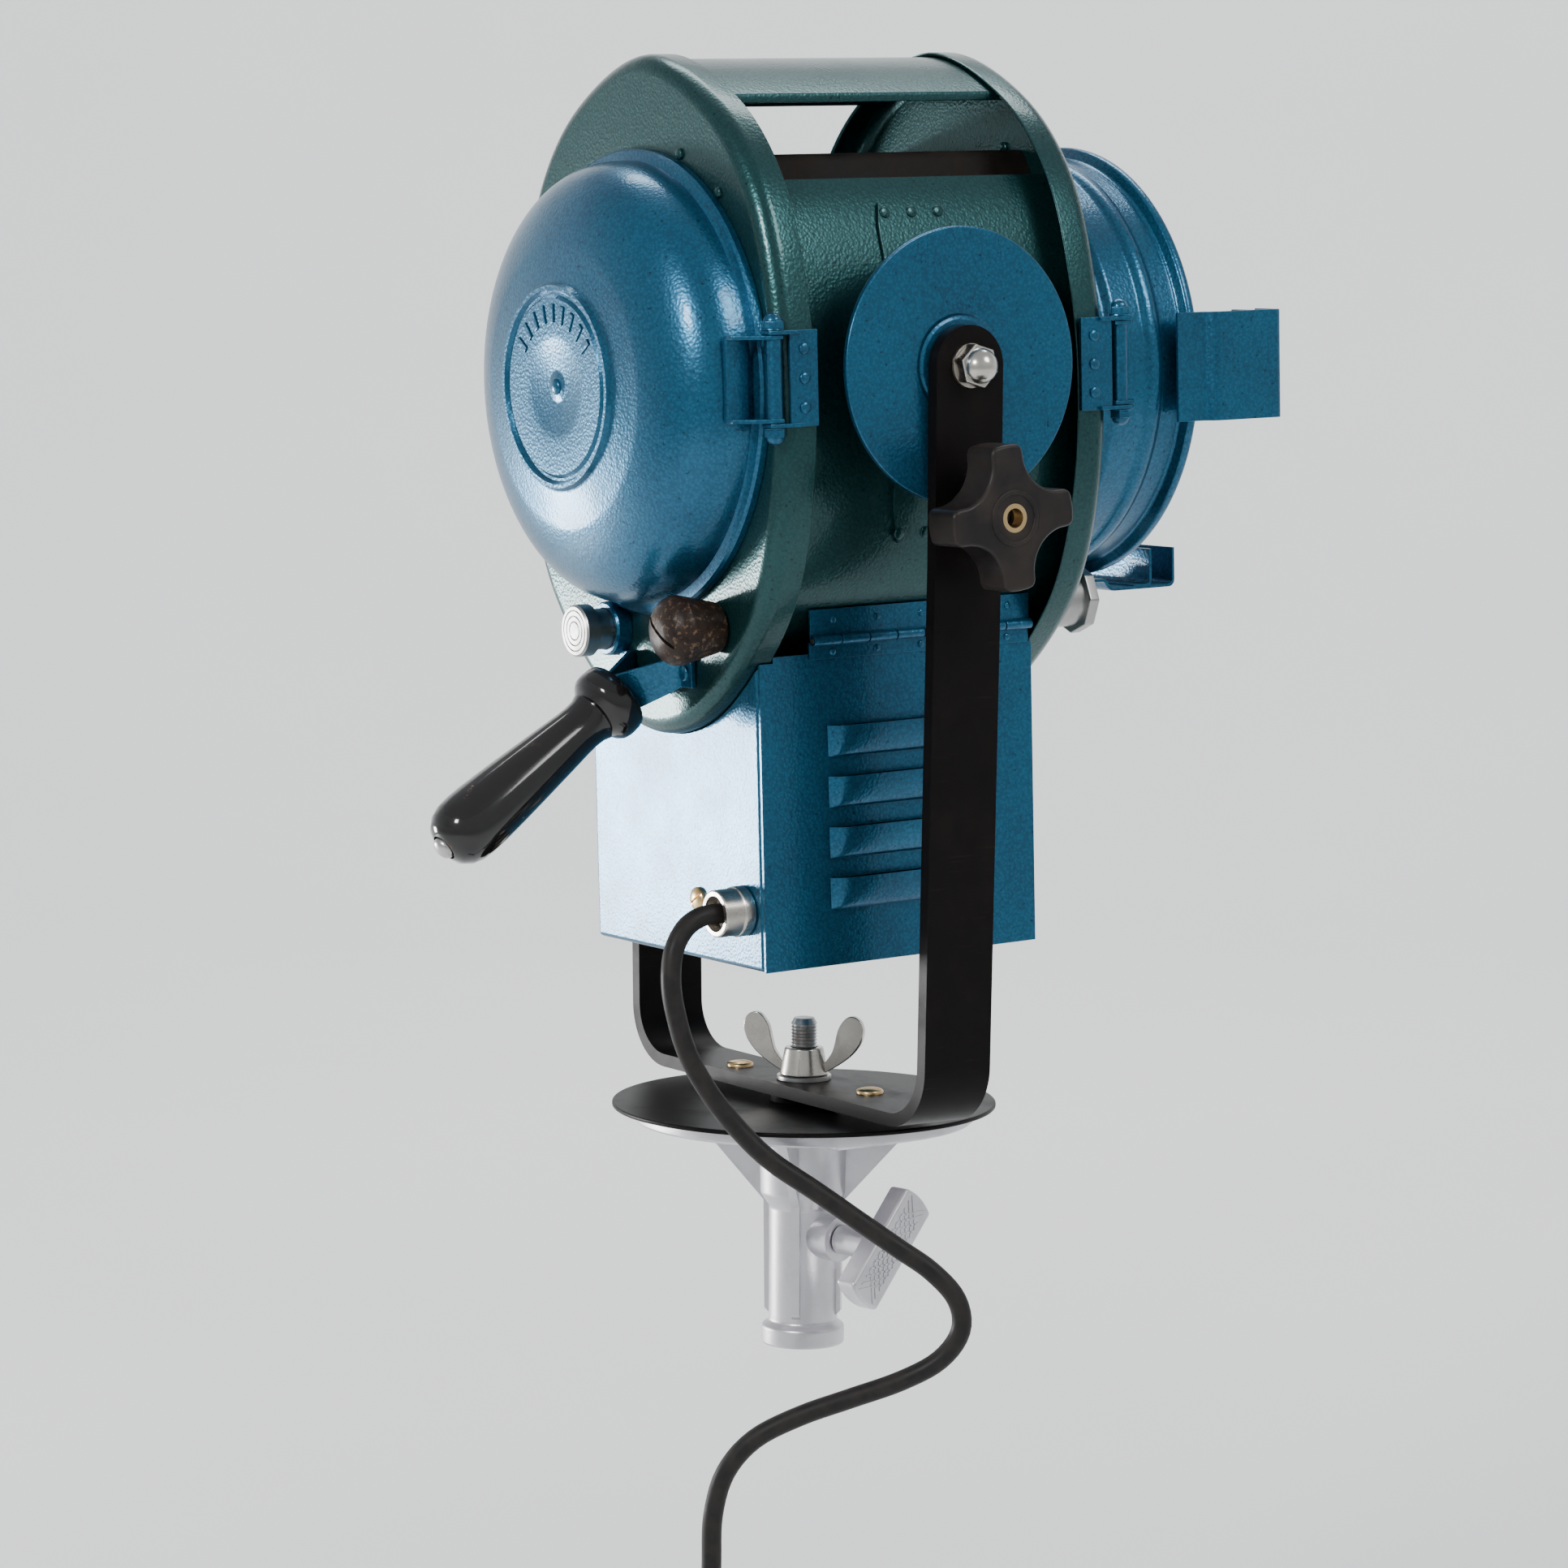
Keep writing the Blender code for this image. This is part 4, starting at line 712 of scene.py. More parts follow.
def tube(name, points, radius, sides=16):
    """A capped tube along a line of points."""
    bm = bmesh.new()
    rings = []
    normal = Vector((1, 0, 0))
    for i, point in enumerate(points):
        along = (points[min(i + 1, len(points) - 1)] - points[max(i - 1, 0)]).normalized()
        normal = (normal - along * normal.dot(along)).normalized()
        other = along.cross(normal)
        rings.append([bm.verts.new(point + (normal * cos(a) + other * sin(a)) * radius)
                      for a in (2 * pi * k / sides for k in range(sides))])
    for lower, upper in zip(rings, rings[1:]):
        for k in range(sides):
            j = (k + 1) % sides
            bm.faces.new((lower[k], lower[j], upper[j], upper[k]))
    bm.faces.new(rings[0][::-1])
    bm.faces.new(rings[-1])
    return mesh_object(name, bm, 60)


def build_cord():
    route = spline_points([Vector(p) for p in CORD_ROUTE], 5, False)
    coil = coil_points()
    x, y, z = COIL_CENTRE
    plug_x, plug_y, sleeve_top, body_top = x + 0.0080, y - 0.0620, z - 0.0195, z - 0.0480
    down = [Vector((plug_x, plug_y, z - 0.0120)), Vector((plug_x, plug_y, sleeve_top + 0.001))]
    coil = [p for p in coil if p.z > z - 0.004 or p.y > y - 0.050 or (p.y - y) ** 2 + (p.z - z) ** 2 < 0.0566 ** 2]
    path = route + coil + down
    cord = tube("power_cord_skin", path, CORD_R, 16)
    bpy.context.scene.collection.objects.link(cord)
    cord.data.materials.append(FINISH["rubber"])
    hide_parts("power_cord", "cord_coil")

    plug = merged("cord_plug_body", [
        turned("sleeve", [(0.0, 0.0285), (0.0052, 0.0285)] + [
            (r, h) for k in range(6) for r, h in (
                (0.0055 + 0.0005 * k, 0.0265 - 0.0045 * k), (0.0046 + 0.0005 * k, 0.0255 - 0.0045 * k),
                (0.0046 + 0.0005 * k, 0.0235 - 0.0045 * k))] + [(0.0080, 0.0), (0.0, 0.0)],
            (plug_x, plug_y, body_top), (0, 0, 1), 40),
        soften(turned("body", [(0.0, 0.001), (0.0120, 0.001), (0.0165, -0.004), (0.0175, -0.030),
                               (0.0175, -0.034), (0.0, -0.034)], (plug_x, plug_y, body_top), (0, 0, 1), 48),
               0.0008)])
    register(plug, "cord_plug")
    pins = merged("plug_pins", [rod("pin", (plug_x, plug_y + s, body_top - 0.033),
                                    (plug_x, plug_y + s, body_top - 0.053), 0.0024, 20, 0.0021)
                                for s in (-0.0095, 0.0095)])
    place_piece(pins, "yoke_frame", "brass")

    half_x, half_r = 0.0152, 0.0106
    tie_angle = radians(-70)
    centre = Vector((x, y + COIL_MID_R * cos(tie_angle), z + COIL_MID_R * sin(tie_angle)))
    out = Vector((0, cos(tie_angle), sin(tie_angle)))
    along = Vector((0, -out.z, out.y))
    loop = [(copysign(abs(cos(a)) ** 0.5, cos(a)) * half_x,
             copysign(abs(sin(a)) ** 0.5, sin(a)) * half_r)
            for a in (2 * pi * k / 40 for k in range(40))]
    rows = [[centre + Vector((1, 0, 0)) * a + out * b + along * w for a, b in loop] for w in (-0.007, 0.007)]
    tie = sheet("coil_tie", rows, 0.0008, closed=True, offset=0.0)
    place_piece(tie, "yoke_frame", "black_plastic")
    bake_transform(cord)


build_cord()


# ---- stand socket and yoke ----
def socket_screw_axis():
    """A point on the clamp screw's axis, and the way it points."""
    out = Vector((-sin(SOCKET_SCREW_TURN), -cos(SOCKET_SCREW_TURN), 0))
    return Vector((0, 0, SOCKET_SCREW_Z)), out


def build_socket():
    top, column, lip_r, lip = SOCKET_TOP, 0.0158, 0.0190, 0.0085
    outer = rounded([
        (0.0065, top), (0.018, top), (0.018, top - 0.0008), (FLANGE_R - 0.006, top - 0.0008),
        (FLANGE_R - 0.006, top),
        (FLANGE_R, top), (FLANGE_R, top - 0.0055), (0.030, top - 0.009), (0.0205, top - 0.014),
        (0.0198, top - 0.040), (column, top - 0.046), (column, lip + 0.002), (lip_r, lip), (lip_r, 0.0),
        (SOCKET_BORE, 0.0), (SOCKET_BORE, 0.086), (0.0065, 0.086)], 0.0012, 3)
    casting = turned("casting", outer, (0, 0, 0), (0, 0, 1), 96)
    middle, out = socket_screw_axis()
    lug_top = top - 0.0052
    pieces = [casting, soften(block("lugs", (-0.052, -0.0175, lug_top - 0.0065), (0.052, 0.0175, lug_top)),
                              0.002, 3),
              rod("boss", middle + out * 0.0122, middle + out * 0.024, 0.0105, 48)]
    for quarter in range(4):
        angle = pi / 4 + quarter * pi / 2
        way = Vector((cos(angle), sin(angle), 0))
        across = Vector((-way.y, way.x, 0)) * 0.0019
        web = [way * 0.0148 + Vector((0, 0, lip + 0.004)), way * 0.0178 + Vector((0, 0, lip + 0.007)),
               way * 0.0184 + Vector((0, 0, top - 0.044)), way * 0.052 + Vector((0, 0, top - 0.0065)),
               way * 0.0148 + Vector((0, 0, top - 0.0065))]
        pieces.append(prism("web", [p - across for p in web], across * 2))
    solid = combined("casting_body", pieces)
    solid = combined("socket_casting_skin", [solid, rod("hole", middle, middle + out * 0.03, 0.0043, 32)],
                     "DIFFERENCE")
    register(soften(solid, 0.0004, 2), "socket_casting")

    pitch, depth, low = 0.0015, 0.00075, 0.0943
    count = int((STUD_TOP - pitch - low) / pitch) * 2 + 1
    rings = [(STUD_R - depth * (k % 2), low + k * pitch / 2) for k in range(count)]
    profile = [(0.0, STUD_TOP), (STUD_R - 0.0014, STUD_TOP)] + rings[::-1] + [(0.0, low)]
    register(turned("socket_stud_thread", profile, (0, 0, 0), (0, 0, 1), 40, 25), "socket_stud")


def build_socket_screw():
    middle, out = socket_screw_axis()
    lean = radians(42)
    across = Vector((-out.y * sin(lean), out.x * sin(lean), cos(lean)))
    wide = across.cross(out)
    half_long, half_wide, thick = 0.0285, 0.0105, 0.011
    base = middle + out * 0.0455
    outline = []
    for sign in (1, -1):
        for k in range(9):
            t = -1 + 2 * k / 8
            bulge = 0.0020 * (1 - t * t)
            outline.append(base + across * sign * (half_long - 0.0020 + bulge) + wide * half_wide * t * sign)
    bar = soften(prism("bar", outline, out * thick), 0.0016, 3)
    stem = turned("stem", rounded([(0.0, 0.0475), (0.0068, 0.0475), (0.0068, 0.0245), (0.004, 0.0245),
                                   (0.004, 0.0125), (0.0, 0.0125)], 0.0008, 3), middle, out, 40)
    ridges = []
    face = base + out * (thick + 0.0002)
    for k in range(-5, 6):
        place = face + across * k * 0.0042
        cross = (across + wide).normalized()
        for direction in (cross, (across - wide).normalized()):
            side = direction.cross(out) * 0.00045
            reach = 0.0085
            ends = [place - direction * reach - side, place + direction * reach - side,
                    place + direction * reach + side, place - direction * reach + side]
            inside = [max(-half_wide * 0.86, min(half_wide * 0.86, (p - base).dot(wide))) for p in ends]
            lengths = [max(-half_long * 0.9, min(half_long * 0.9, (p - base).dot(across))) for p in ends]
            quad = [face - out * 0.0004 + across * a + wide * w for a, w in zip(lengths, inside)]
            if (quad[0] - quad[1]).length > 0.004:
                ridges.append(prism("ridge", quad, out * 0.0006))
    register(merged("socket_screw_skin", [bar, stem] + ridges), "socket_clamp_screw")


def yoke_stations():
    half, right = BAR_W / 2, []
    for step in range(16):
        angle = radians(84 - step * 84 / 15)
        right.append((Vector((YOKE_HALF_TOP, PIVOT_Z + half * sin(angle))), half * cos(angle)))
    for step in range(1, 9):
        right.append((Vector((YOKE_HALF_TOP, PIVOT_Z - 0.085 * step / 8)), half))
    for step in range(17):
        angle = radians(step * 90 / 16)
        centre = Vector((YOKE_HALF_BASE - YOKE_BEND, YOKE_BASE_Z + YOKE_BEND))
        right.append((centre + Vector((cos(angle), -sin(angle))) * YOKE_BEND, half))
    left = [(Vector((-point.x, point.y)), width) for point, width in reversed(right)]
    return right + left


def build_yoke():
    stations = yoke_stations()
    rows = [[(point.x, side * width, point.y) for point, width in stations] for side in (-1, -0.5, 0, 0.5, 1)]
    yoke = sheet("yoke_bar", rows, BAR_T)
    scene = bpy.context.scene.collection.objects
    scene.link(yoke)
    bake(yoke)
    scene.unlink(yoke)
    holes = [rod("stud_hole", (0, 0, 0.1), (0, 0, 0.14), STUD_R + GAP),
             rod("clamp_hole", (-0.11, 0, PIVOT_Z - CLAMP_DROP), (-0.14, 0, PIVOT_Z - CLAMP_DROP), 0.0043)]
    for side in (-1, 1):
        holes.append(rod("pivot_hole", (side * 0.11, 0, PIVOT_Z), (side * 0.14, 0, PIVOT_Z), 0.0053))
    yoke = combined("yoke_bar", [yoke] + holes, "DIFFERENCE")
    register(soften(yoke, 0.0012, 3, 50), "yoke")
    disc = rounded([(0.0063, 0.0), (0.010, 0.0), (0.010, 0.0004), (FRICTION_DISC_R, 0.0004),
                    (FRICTION_DISC_R, FRICTION_DISC_T), (0.0063, FRICTION_DISC_T)][::-1], 0.0008, 3)
    register(turned("friction_disc_skin", disc, (0, 0, SOCKET_TOP + GAP), (0, 0, 1), 160), "friction_disc")
    spacer_z = SOCKET_TOP + FRICTION_DISC_T + 2 * GAP
    spacer = [(0.016, YOKE_BASE_Z - GAP), (0.016, spacer_z), (0.0063, spacer_z), (0.0063, YOKE_BASE_Z - GAP)]
    register(turned("spacer", spacer, (0, 0, 0), (0, 0, 1), 48), "friction_spacer")
    washer_z = YOKE_BASE_Z + BAR_T + GAP
    washer = [(0.0122, 0.002), (0.0125, 0.0017), (0.0125, 0.0), (0.0063, 0.0), (0.0063, 0.002)]
    register(turned("washer", washer, (0, 0, washer_z), (0, 0, 1), 48), "stud_washer")
    for place in ((-0.047, -0.0045, washer_z - GAP), (0.047, 0.0045, washer_z - GAP)):
        place_piece(button("yoke_screw", place, (0, 0, 1), 0.0062, 0.0026, True), "yoke_frame", "brass")
    build_wing_nut(washer_z + 0.002 + GAP)


def build_wing_nut(low):
    hub = turned("hub", rounded([(0.0063, 0.0125), (0.0088, 0.0125), (0.0112, 0.0), (0.0063, 0.0)], 0.0008,
                                3),
                 (0, 0, low), (0, 0, 1), 64)
    lean = radians(38)
    direction = Vector((cos(lean), sin(lean), 0))
    pieces = [hub]
    for side in (-1, 1):
        controls = [Vector(point) for point in (
            (0.0085, 0.002), (0.014, 0.010), (0.0170, 0.021), (0.0220, 0.0265), (0.0275, 0.0245),
            (0.0285, 0.017), (0.0225, 0.008), (0.0105, 0.000))]
        outline = [direction * side * point.x + Vector((0, 0, low + 0.001 + point.y))
                   for point in spline_points(controls, 6, True)]
        normal = direction.cross(Vector((0, 0, 1))) * 0.0036
        pieces.append(soften(prism("wing", [p - normal / 2 for p in outline], normal), 0.0012, 3))
    nut = combined("wing_nut_body", pieces)
    register(soften(nut, 0.0005, 2), "wing_nut")


# ---- tilt joint ----
def build_pivots():
    inner = DISC_X - DISC_T
    for side, label in ((-1, "left"), (1, "right")):
        disc = rounded([(0.0053, DISC_X - 0.0006), (0.020, DISC_X - 0.0006), (0.0212, DISC_X - 0.0014),
                        (0.0225, DISC_X - 0.0006), (DISC_R - 0.0035, DISC_X), (DISC_R, DISC_X),
                        (DISC_R, inner), (0.0053, inner)], 0.0009, 3)
        register(turned("tilt_disc_skin_" + label, disc, (0, 0, 0), (side, 0, 0), 128), "tilt_disc_" + label)
        points = [p for p in pear(BODY_INSET - 0.0018) if p.x * side > 0 and -0.078 < p.y < 0.072]
        spread = [0.0225 if abs(p.y) < 0.060 else 0.0225 - 0.006 * (abs(p.y) - 0.060) / 0.018 for p in points]
        rows = [[(p.x, way * w * 0.84, p.y) for p, w in zip(points, spread)] for way in (-1, 1)]
        plate = soften(sheet("plate", rows, 0.0015), 0.0004)
        surface = max(abs(p.x) for p in points) - 0.0012
        boss = turned("boss", rounded([(0.0053, inner - GAP), (0.0140, inner - GAP),
                                       (0.0140, surface + 0.004),
                                       (0.0165, surface + 0.0005), (0.0053, surface + 0.0005)], 0.001, 3),
                      (0, 0, 0), (side, 0, 0), 64)
        welds = []
        for y, z in ((-0.014, 0.0665), (0.0, 0.0665), (0.014, 0.0665), (-0.014, -0.0725), (0.0, -0.0725),
                     (0.014, -0.0725)):
            near = min(points, key=lambda p: abs(p.y - z))
            welds.append(button("weld", (near.x, y, near.y), (side, 0, 0.25 * (1 if z > 0 else -1)), 0.0026,
                                0.0010))
        register(merged("pivot_bracket_skin_" + label, [plate, boss] + welds), "pivot_bracket_" + label)
        face = YOKE_HALF_TOP + GAP
        acorn = acorn_shape("acorn_" + label, (side * face, 0, PIVOT_Z), (side, 0, 0), 1.0, 15)
        register(acorn, "acorn_nut_" + label)
        bolt = rod("pivot_bolt_skin_" + label, (side * 0.099, 0, PIVOT_Z),
                   (side * (face + 0.0105), 0, PIVOT_Z), 0.005, 32)
        register(bolt, "pivot_bolt_" + label)


def acorn_shape(name, start, direction, scale, turn_degrees):
    """A domed hexagon nut with a chamfered top and a washer face."""
    place = Matrix.Translation(Vector(start)) @ turn_to(direction) @ Matrix.Rotation(radians(turn_degrees), 4,
                                                                                     "Z")
    bm = bmesh.new()
    bmesh.ops.create_cone(bm, cap_ends=True, segments=6, radius1=0.0098 * scale, radius2=0.0098 * scale,
                          depth=0.0066 * scale, matrix=place @ Matrix.Translation((0, 0, 0.0042 * scale)))
    hexagon = soften(mesh_object("hexagon", bm), 0.0007 * scale, 3)
    dome = [(0.0, 0.0145)] + [(0.0078 * sin(a), 0.0072 + 0.0073 * cos(a))
                              for a in (radians(10 * k) for k in range(1, 10))] + [(0.0, 0.0060)]
    dome = turned("dome", [(r * scale, h * scale) for r, h in dome], start, direction, 40)
    washer = turned("washer_face",
                    [(0.0096 * scale, 0.0010 * scale), (0.0098 * scale, 0.0), (0.0052 * scale, 0.0),
                                    (0.0052 * scale, 0.0010 * scale)], start, direction, 40)
    return merged(name, [hexagon, dome, washer])


def knob_outline(lobe_r, scallop_at, scallop_r, per_lobe=28):
    points = []
    for i in range(4 * per_lobe):
        angle = 2 * pi * i / (4 * per_lobe)
        from_scallop = (angle + pi / 2) % (pi / 2) - pi / 4
        reach = lobe_r
        inside = scallop_r ** 2 - (scallop_at * sin(from_scallop)) ** 2
        if inside > 0:
            reach = min(reach, scallop_at * cos(from_scallop) - sqrt(inside))
        points.append((reach * cos(angle), reach * sin(angle)))
    return points


def build_tilt_clamp():
    z, turn = PIVOT_Z - CLAMP_DROP, radians(-8)
    outline = [(-0.140, a * cos(turn) - b * sin(turn), z + a * sin(turn) + b * cos(turn))
               for a, b in knob_outline(0.0315, 0.0375, 0.0185)]
    knob = soften(prism("knob", outline, (-0.0203, 0, 0)), 0.0022, 4, 50)
    ring = turned("ring", rounded([(0.0100, 0.1590), (0.0100, 0.1609), (0.0122, 0.1609), (0.0122, 0.1590)],
                                  0.0005, 3),
                  (0, 0, z), (-1, 0, 0), 64)
    neck = turned("neck", rounded([(0.0, 0.141), (0.0125, 0.141), (0.0115, 0.137),
                                   (0.0115, YOKE_HALF_TOP + GAP),
                                   (0.0, YOKE_HALF_TOP + GAP)], 0.001, 3), (0, 0, z), (-1, 0, 0), 48)
    knob = combined("tilt_knob", [knob, neck, ring])
    knob = combined("tilt_knob_skin", [knob, rod("hole", (-0.12, 0, z), (-0.18, 0, z), 0.0043, 32)],
                    "DIFFERENCE")
    register(soften(knob, 0.0004, 2), "tilt_clamp_knob")
    insert = [(0.0042, 0.1540), (0.0042, 0.1604), (0.0062, 0.1604), (0.0062, 0.1540), (0.0042, 0.1540)]
    place_piece(turned("thread_insert", insert, (0, 0, z), (-1, 0, 0), 48), "tilt_clamp", "brass")
    face = -(DISC_X - DISC_T - GAP)
    jaw = soften(block("jaw", (face, -0.011, z - 0.012), (face + 0.005, 0.011, z + 0.021)), 0.0008)
    stud = rod("stud", (face + 0.003, 0, z), (-0.151, 0, z), 0.004, 32)
    register(merged("tilt_jaw_skin", [jaw, stud]), "tilt_clamp_jaw")


# ---- lamp housing ----
def build_end_plate(node, side):
    flat_start = END_Y - END_BEND
    rows = [at_y(pear(0.0006), side * RIM_Y), at_y(pear(0.0), side * (RIM_Y + 0.0008))]
    for step in range(9):
        angle = radians(step * 90 / 8)
        rows.append(at_y(pear(END_BEND * (1 - cos(angle))), side * (flat_start + END_BEND * sin(angle))))
    centre = Vector((0.0, LENS_Z))
    edge = pear(END_BEND)
    for radius, rise in ((PORT_R + 0.0035, 0.0), (PORT_R + 0.0012, 0.0003), (PORT_R, 0.0002)):
        circle = [centre + (point - centre).normalized() * radius for point in edge]
        rows.append(at_y(circle, side * (END_Y - rise)))
    if side < 0:
        rows.reverse()
    skin = soften(sheet(node + "_skin", rows, SHEET, closed=True), 0.0003, 2, 60)
    register(skin, node)


def build_plate_screws():
    """Domed screws on the end plates, just outside the rear cover."""
    for label, place in (("rear_a", (-0.0351, END_Y, 0.0930)), ("rear_b", (-0.0655, END_Y, 0.0762)),
                         ("front", (-0.0364, SHEET - END_Y, 0.0932))):
        screw = button("plate_screw_" + label, place, (0, 1, 0), 0.0025, 0.0019)
        place_piece(screw, "head", "hammer_green")


def build_body():
    points = pear(BODY_INSET)
    keep = []
    for i, point in enumerate(points):
        after = points[(i + 1) % len(points)]
        if point.y <= BODY_TOP:
            keep.append(point)
        if (point.y - BODY_TOP) * (after.y - BODY_TOP) < 0:
            keep.append(point.lerp(after, (BODY_TOP - point.y) / (after.y - point.y)))
    reach = END_Y - SHEET - GAP
    rows = [at_y(keep, reach * t) for t in (-1, -0.5, 0, 0.5, 1)]
    body = sheet("body_skin", rows, SHEET)
    slot_cut = block("lamp_slot", (-0.034, -0.045, -0.17), (0.034, 0.045, -0.14))
    register(combined("body_shell_skin", [body, slot_cut], "DIFFERENCE"), "body_shell")

    crown = sorted([p for p in pear(0.0022) if p.y > 0.1 and abs(p.x) < 0.050], key=lambda p: p.x)
    lip = [Vector((crown[-1].x + 0.0004, crown[-1].y - d)) for d in (0.0015, 0.0028, 0.004)]
    section = [Vector((-p.x, p.y)) for p in reversed(lip)] + crown + lip
    end = RIM_Y + 0.009
    register(soften(sheet("top_bridge_skin", [at_y(section, -end), at_y(section, end)], SHEET), 0.0004),
             "top_bridge")

    baffle = [Vector(p)
              for p in rounded([(-0.064, 0.067), (-0.050, 0.092), (0.050, 0.092), (0.064, 0.067)], 0.004, 5)]
    register(sheet("baffle_skin", [at_y(baffle, -reach), at_y(baffle, reach)], 0.0012), "chimney_baffle")


def flange_cutters():
    shape = pear(-2 * GAP)
    start = RIM_Y - 2 * GAP
    return [prism("relief", at_y(shape, side * start), (0, side * 0.03, 0)) for side in (-1, 1)]


def build_box():
    box = block("box", (-BOX_X + SHEET, BOX_FRONT, BOX_BOTTOM), (BOX_X, BOX_REAR, BOX_TOP))
    box = soften(box, 0.0022, 4)
    inside = soften(block("inside", (-0.09, BOX_FRONT + SHEET, BOX_BOTTOM + SHEET),
                          (BOX_X - SHEET, BOX_REAR - SHEET, BOX_TOP + 0.02)), 0.0012, 2)
    gland_hole = rod("gland_hole", (GLAND_X, BOX_REAR - 0.01, GLAND_Z), (GLAND_X, BOX_REAR + 0.01, GLAND_Z),
                     0.0078)
    box = combined("lower_box_skin", [box, inside, gland_hole] + flange_cutters(), "DIFFERENCE")
    register(box, "lower_box")
    for y, z in ((0.060, -0.255), (-0.060, -0.255), (0.060, -0.2), (-0.060, -0.2)):
        place_piece(button("box_rivet", (BOX_X, y, z), (1, 0, 0), 0.0028, 0.0012), "head", "hammer_blue")
    place_piece(button("earth_screw", (-0.0175, BOX_REAR, GLAND_Z + 0.001), (0, 1, 0), 0.0055, 0.0030, True),
          "head", "brass")


def build_flap():
    outer = -BOX_X
    flap = block("flap", (outer, BOX_FRONT, BOX_BOTTOM), (outer + SHEET - GAP, BOX_REAR, PIANO_Z - 0.006))
    first_louvre, pitch, half = -0.1570, 0.0225, 0.0405
    hoods, slots = [], []
    for i in range(4):
        top = first_louvre - i * pitch
        rows = []
        for k in range(33):
            t = -1 + 2 * k / 32
            bulge = max(1 - abs(t) ** 8, 0.0) ** 0.5
            rows.append([(outer - 0.0046 * bulge * sin(radians(a)) ** 0.7 - 0.0001,
                          t * half, top - 0.0135 * cos(radians(a)) ** 1.2)
                         for a in (4, 12, 22, 34, 48, 62, 76, 90)])
        hoods.append(sheet("hood", rows, 0.0007, offset=1.0))
        slots.append(block("slot", (outer - 0.002, 0.0015 - half, top - 0.0100),
                           (outer + 0.01, half - 0.0015, top - 0.0003)))
    plate = combined("flap_plate", [flap] + slots + flange_cutters(), "DIFFERENCE")
    rear_end, front_end, knuckles = 0.050, -0.068, 8
    length = (rear_end - front_end) / knuckles
    leaf_low = soften(block("leaf_low", (PIANO_X + 0.0019, front_end, PIANO_Z - 0.0085),
                            (outer + 0.0004, rear_end, PIANO_Z - 0.0010)), 0.0003)
    moving, fixed = [], []
    for i in range(knuckles):
        low = front_end + i * length + GAP
        profile = rounded([(0.0013, 0.0), (PIANO_R, 0.0), (PIANO_R, length - 2 * GAP),
                           (0.0013, length - 2 * GAP)], 0.0003, 2)
        knuckle = turned("knuckle", profile, (PIANO_X, low, PIANO_Z), (0, 1, 0), 28)
        (moving if i % 2 else fixed).append(knuckle)
    rivets = [button("rivet", (PIANO_X + 0.0019, front_end + 0.012 + k * 0.0235, PIANO_Z - 0.0055),
                     (-1, 0, 0), 0.0016, 0.0008)
              for k in range(5)]
    register(merged("side_flap_skin", [plate, leaf_low] + hoods + moving + rivets), "side_flap")
    leaf = soften(block("leaf_high", (PIANO_X + 0.0012, front_end, PIANO_Z + 0.0010),
                        (PIANO_X + 0.0024, rear_end, PIANO_Z + 0.0135)), 0.0003)
    upper = [button("rivet", (PIANO_X + 0.0012, front_end + 0.012 + k * 0.0235, PIANO_Z + 0.0085), (-1, 0, 0),
                    0.0016, 0.0008)
             for k in range(5)]
    register(merged("piano_leaf_skin", [leaf] + fixed + upper), "piano_hinge_leaf")


def build_gland():
    face = BOX_REAR + GAP
    profile = rounded([
        (0.0080, face + 0.0150), (0.0100, face + 0.0150), (0.0105, face + 0.0145), (0.0105, face + 0.0055),
        (0.0112, face + 0.0050), (0.0112, face), (0.0074, face), (0.0074, face - 0.008),
        (0.0052, face - 0.008),
        (0.0052, face + 0.006), (0.0080, face + 0.009)], 0.0006, 3)
    register(turned("gland_skin", profile, (GLAND_X, 0, GLAND_Z), (0, 1, 0), 64), "cable_gland")


# ---- doors ----
def hinge_shapes(side, pin_y, door_outline):
    """The rim leaf with two ears, and the door's ears with a spacer tube."""
    half, rim_x, sheet_t = HINGE_HALF, -0.1116, 0.0017
    near, far = sorted((side * 0.0695, side * min(0.0865, abs(pin_y) - 0.0062)))
    leaf = soften(block("leaf", (rim_x - 0.0016, near, HINGE_Z - half), (rim_x, far, HINGE_Z + half)), 0.0004)
    fixed = [leaf]
    ear = ((-0.1152, 0.079), (-0.1152, abs(pin_y) + 0.003), (-0.1137, abs(pin_y) + 0.0045),
           (-0.1070, abs(pin_y) + 0.0045),
           (-0.1055, abs(pin_y) + 0.003), (-0.1055, END_Y + 0.0006), (rim_x, END_Y + 0.0006), (rim_x, 0.079))
    for low in (half - sheet_t, -half):
        fixed.append(soften(prism("ear", [(x, side * y, HINGE_Z + low) for x, y in ear], (0, 0, sheet_t)),
                            0.0003))
    for k in (-1, 0, 1):
        fixed.append(button("rivet", (rim_x - 0.0016, side * 0.0765, HINGE_Z + k * 0.0125), (-1, 0, 0),
                            0.0026, 0.0013))
    inner = half - sheet_t - GAP
    moving = []
    for low in (inner - sheet_t, -inner):
        moving.append(soften(prism("ear", [(x, side * y, HINGE_Z + low) for x, y in door_outline],
                                   (0, 0, sheet_t)), 0.0003))
    tube_profile = [(0.0036, inner), (0.0036, -inner), (0.0024, -inner), (0.0024, inner)]
    moving.append(turned("spacer", tube_profile, (HINGE_X, pin_y, HINGE_Z), (0, 0, 1), 32))
    return fixed, moving


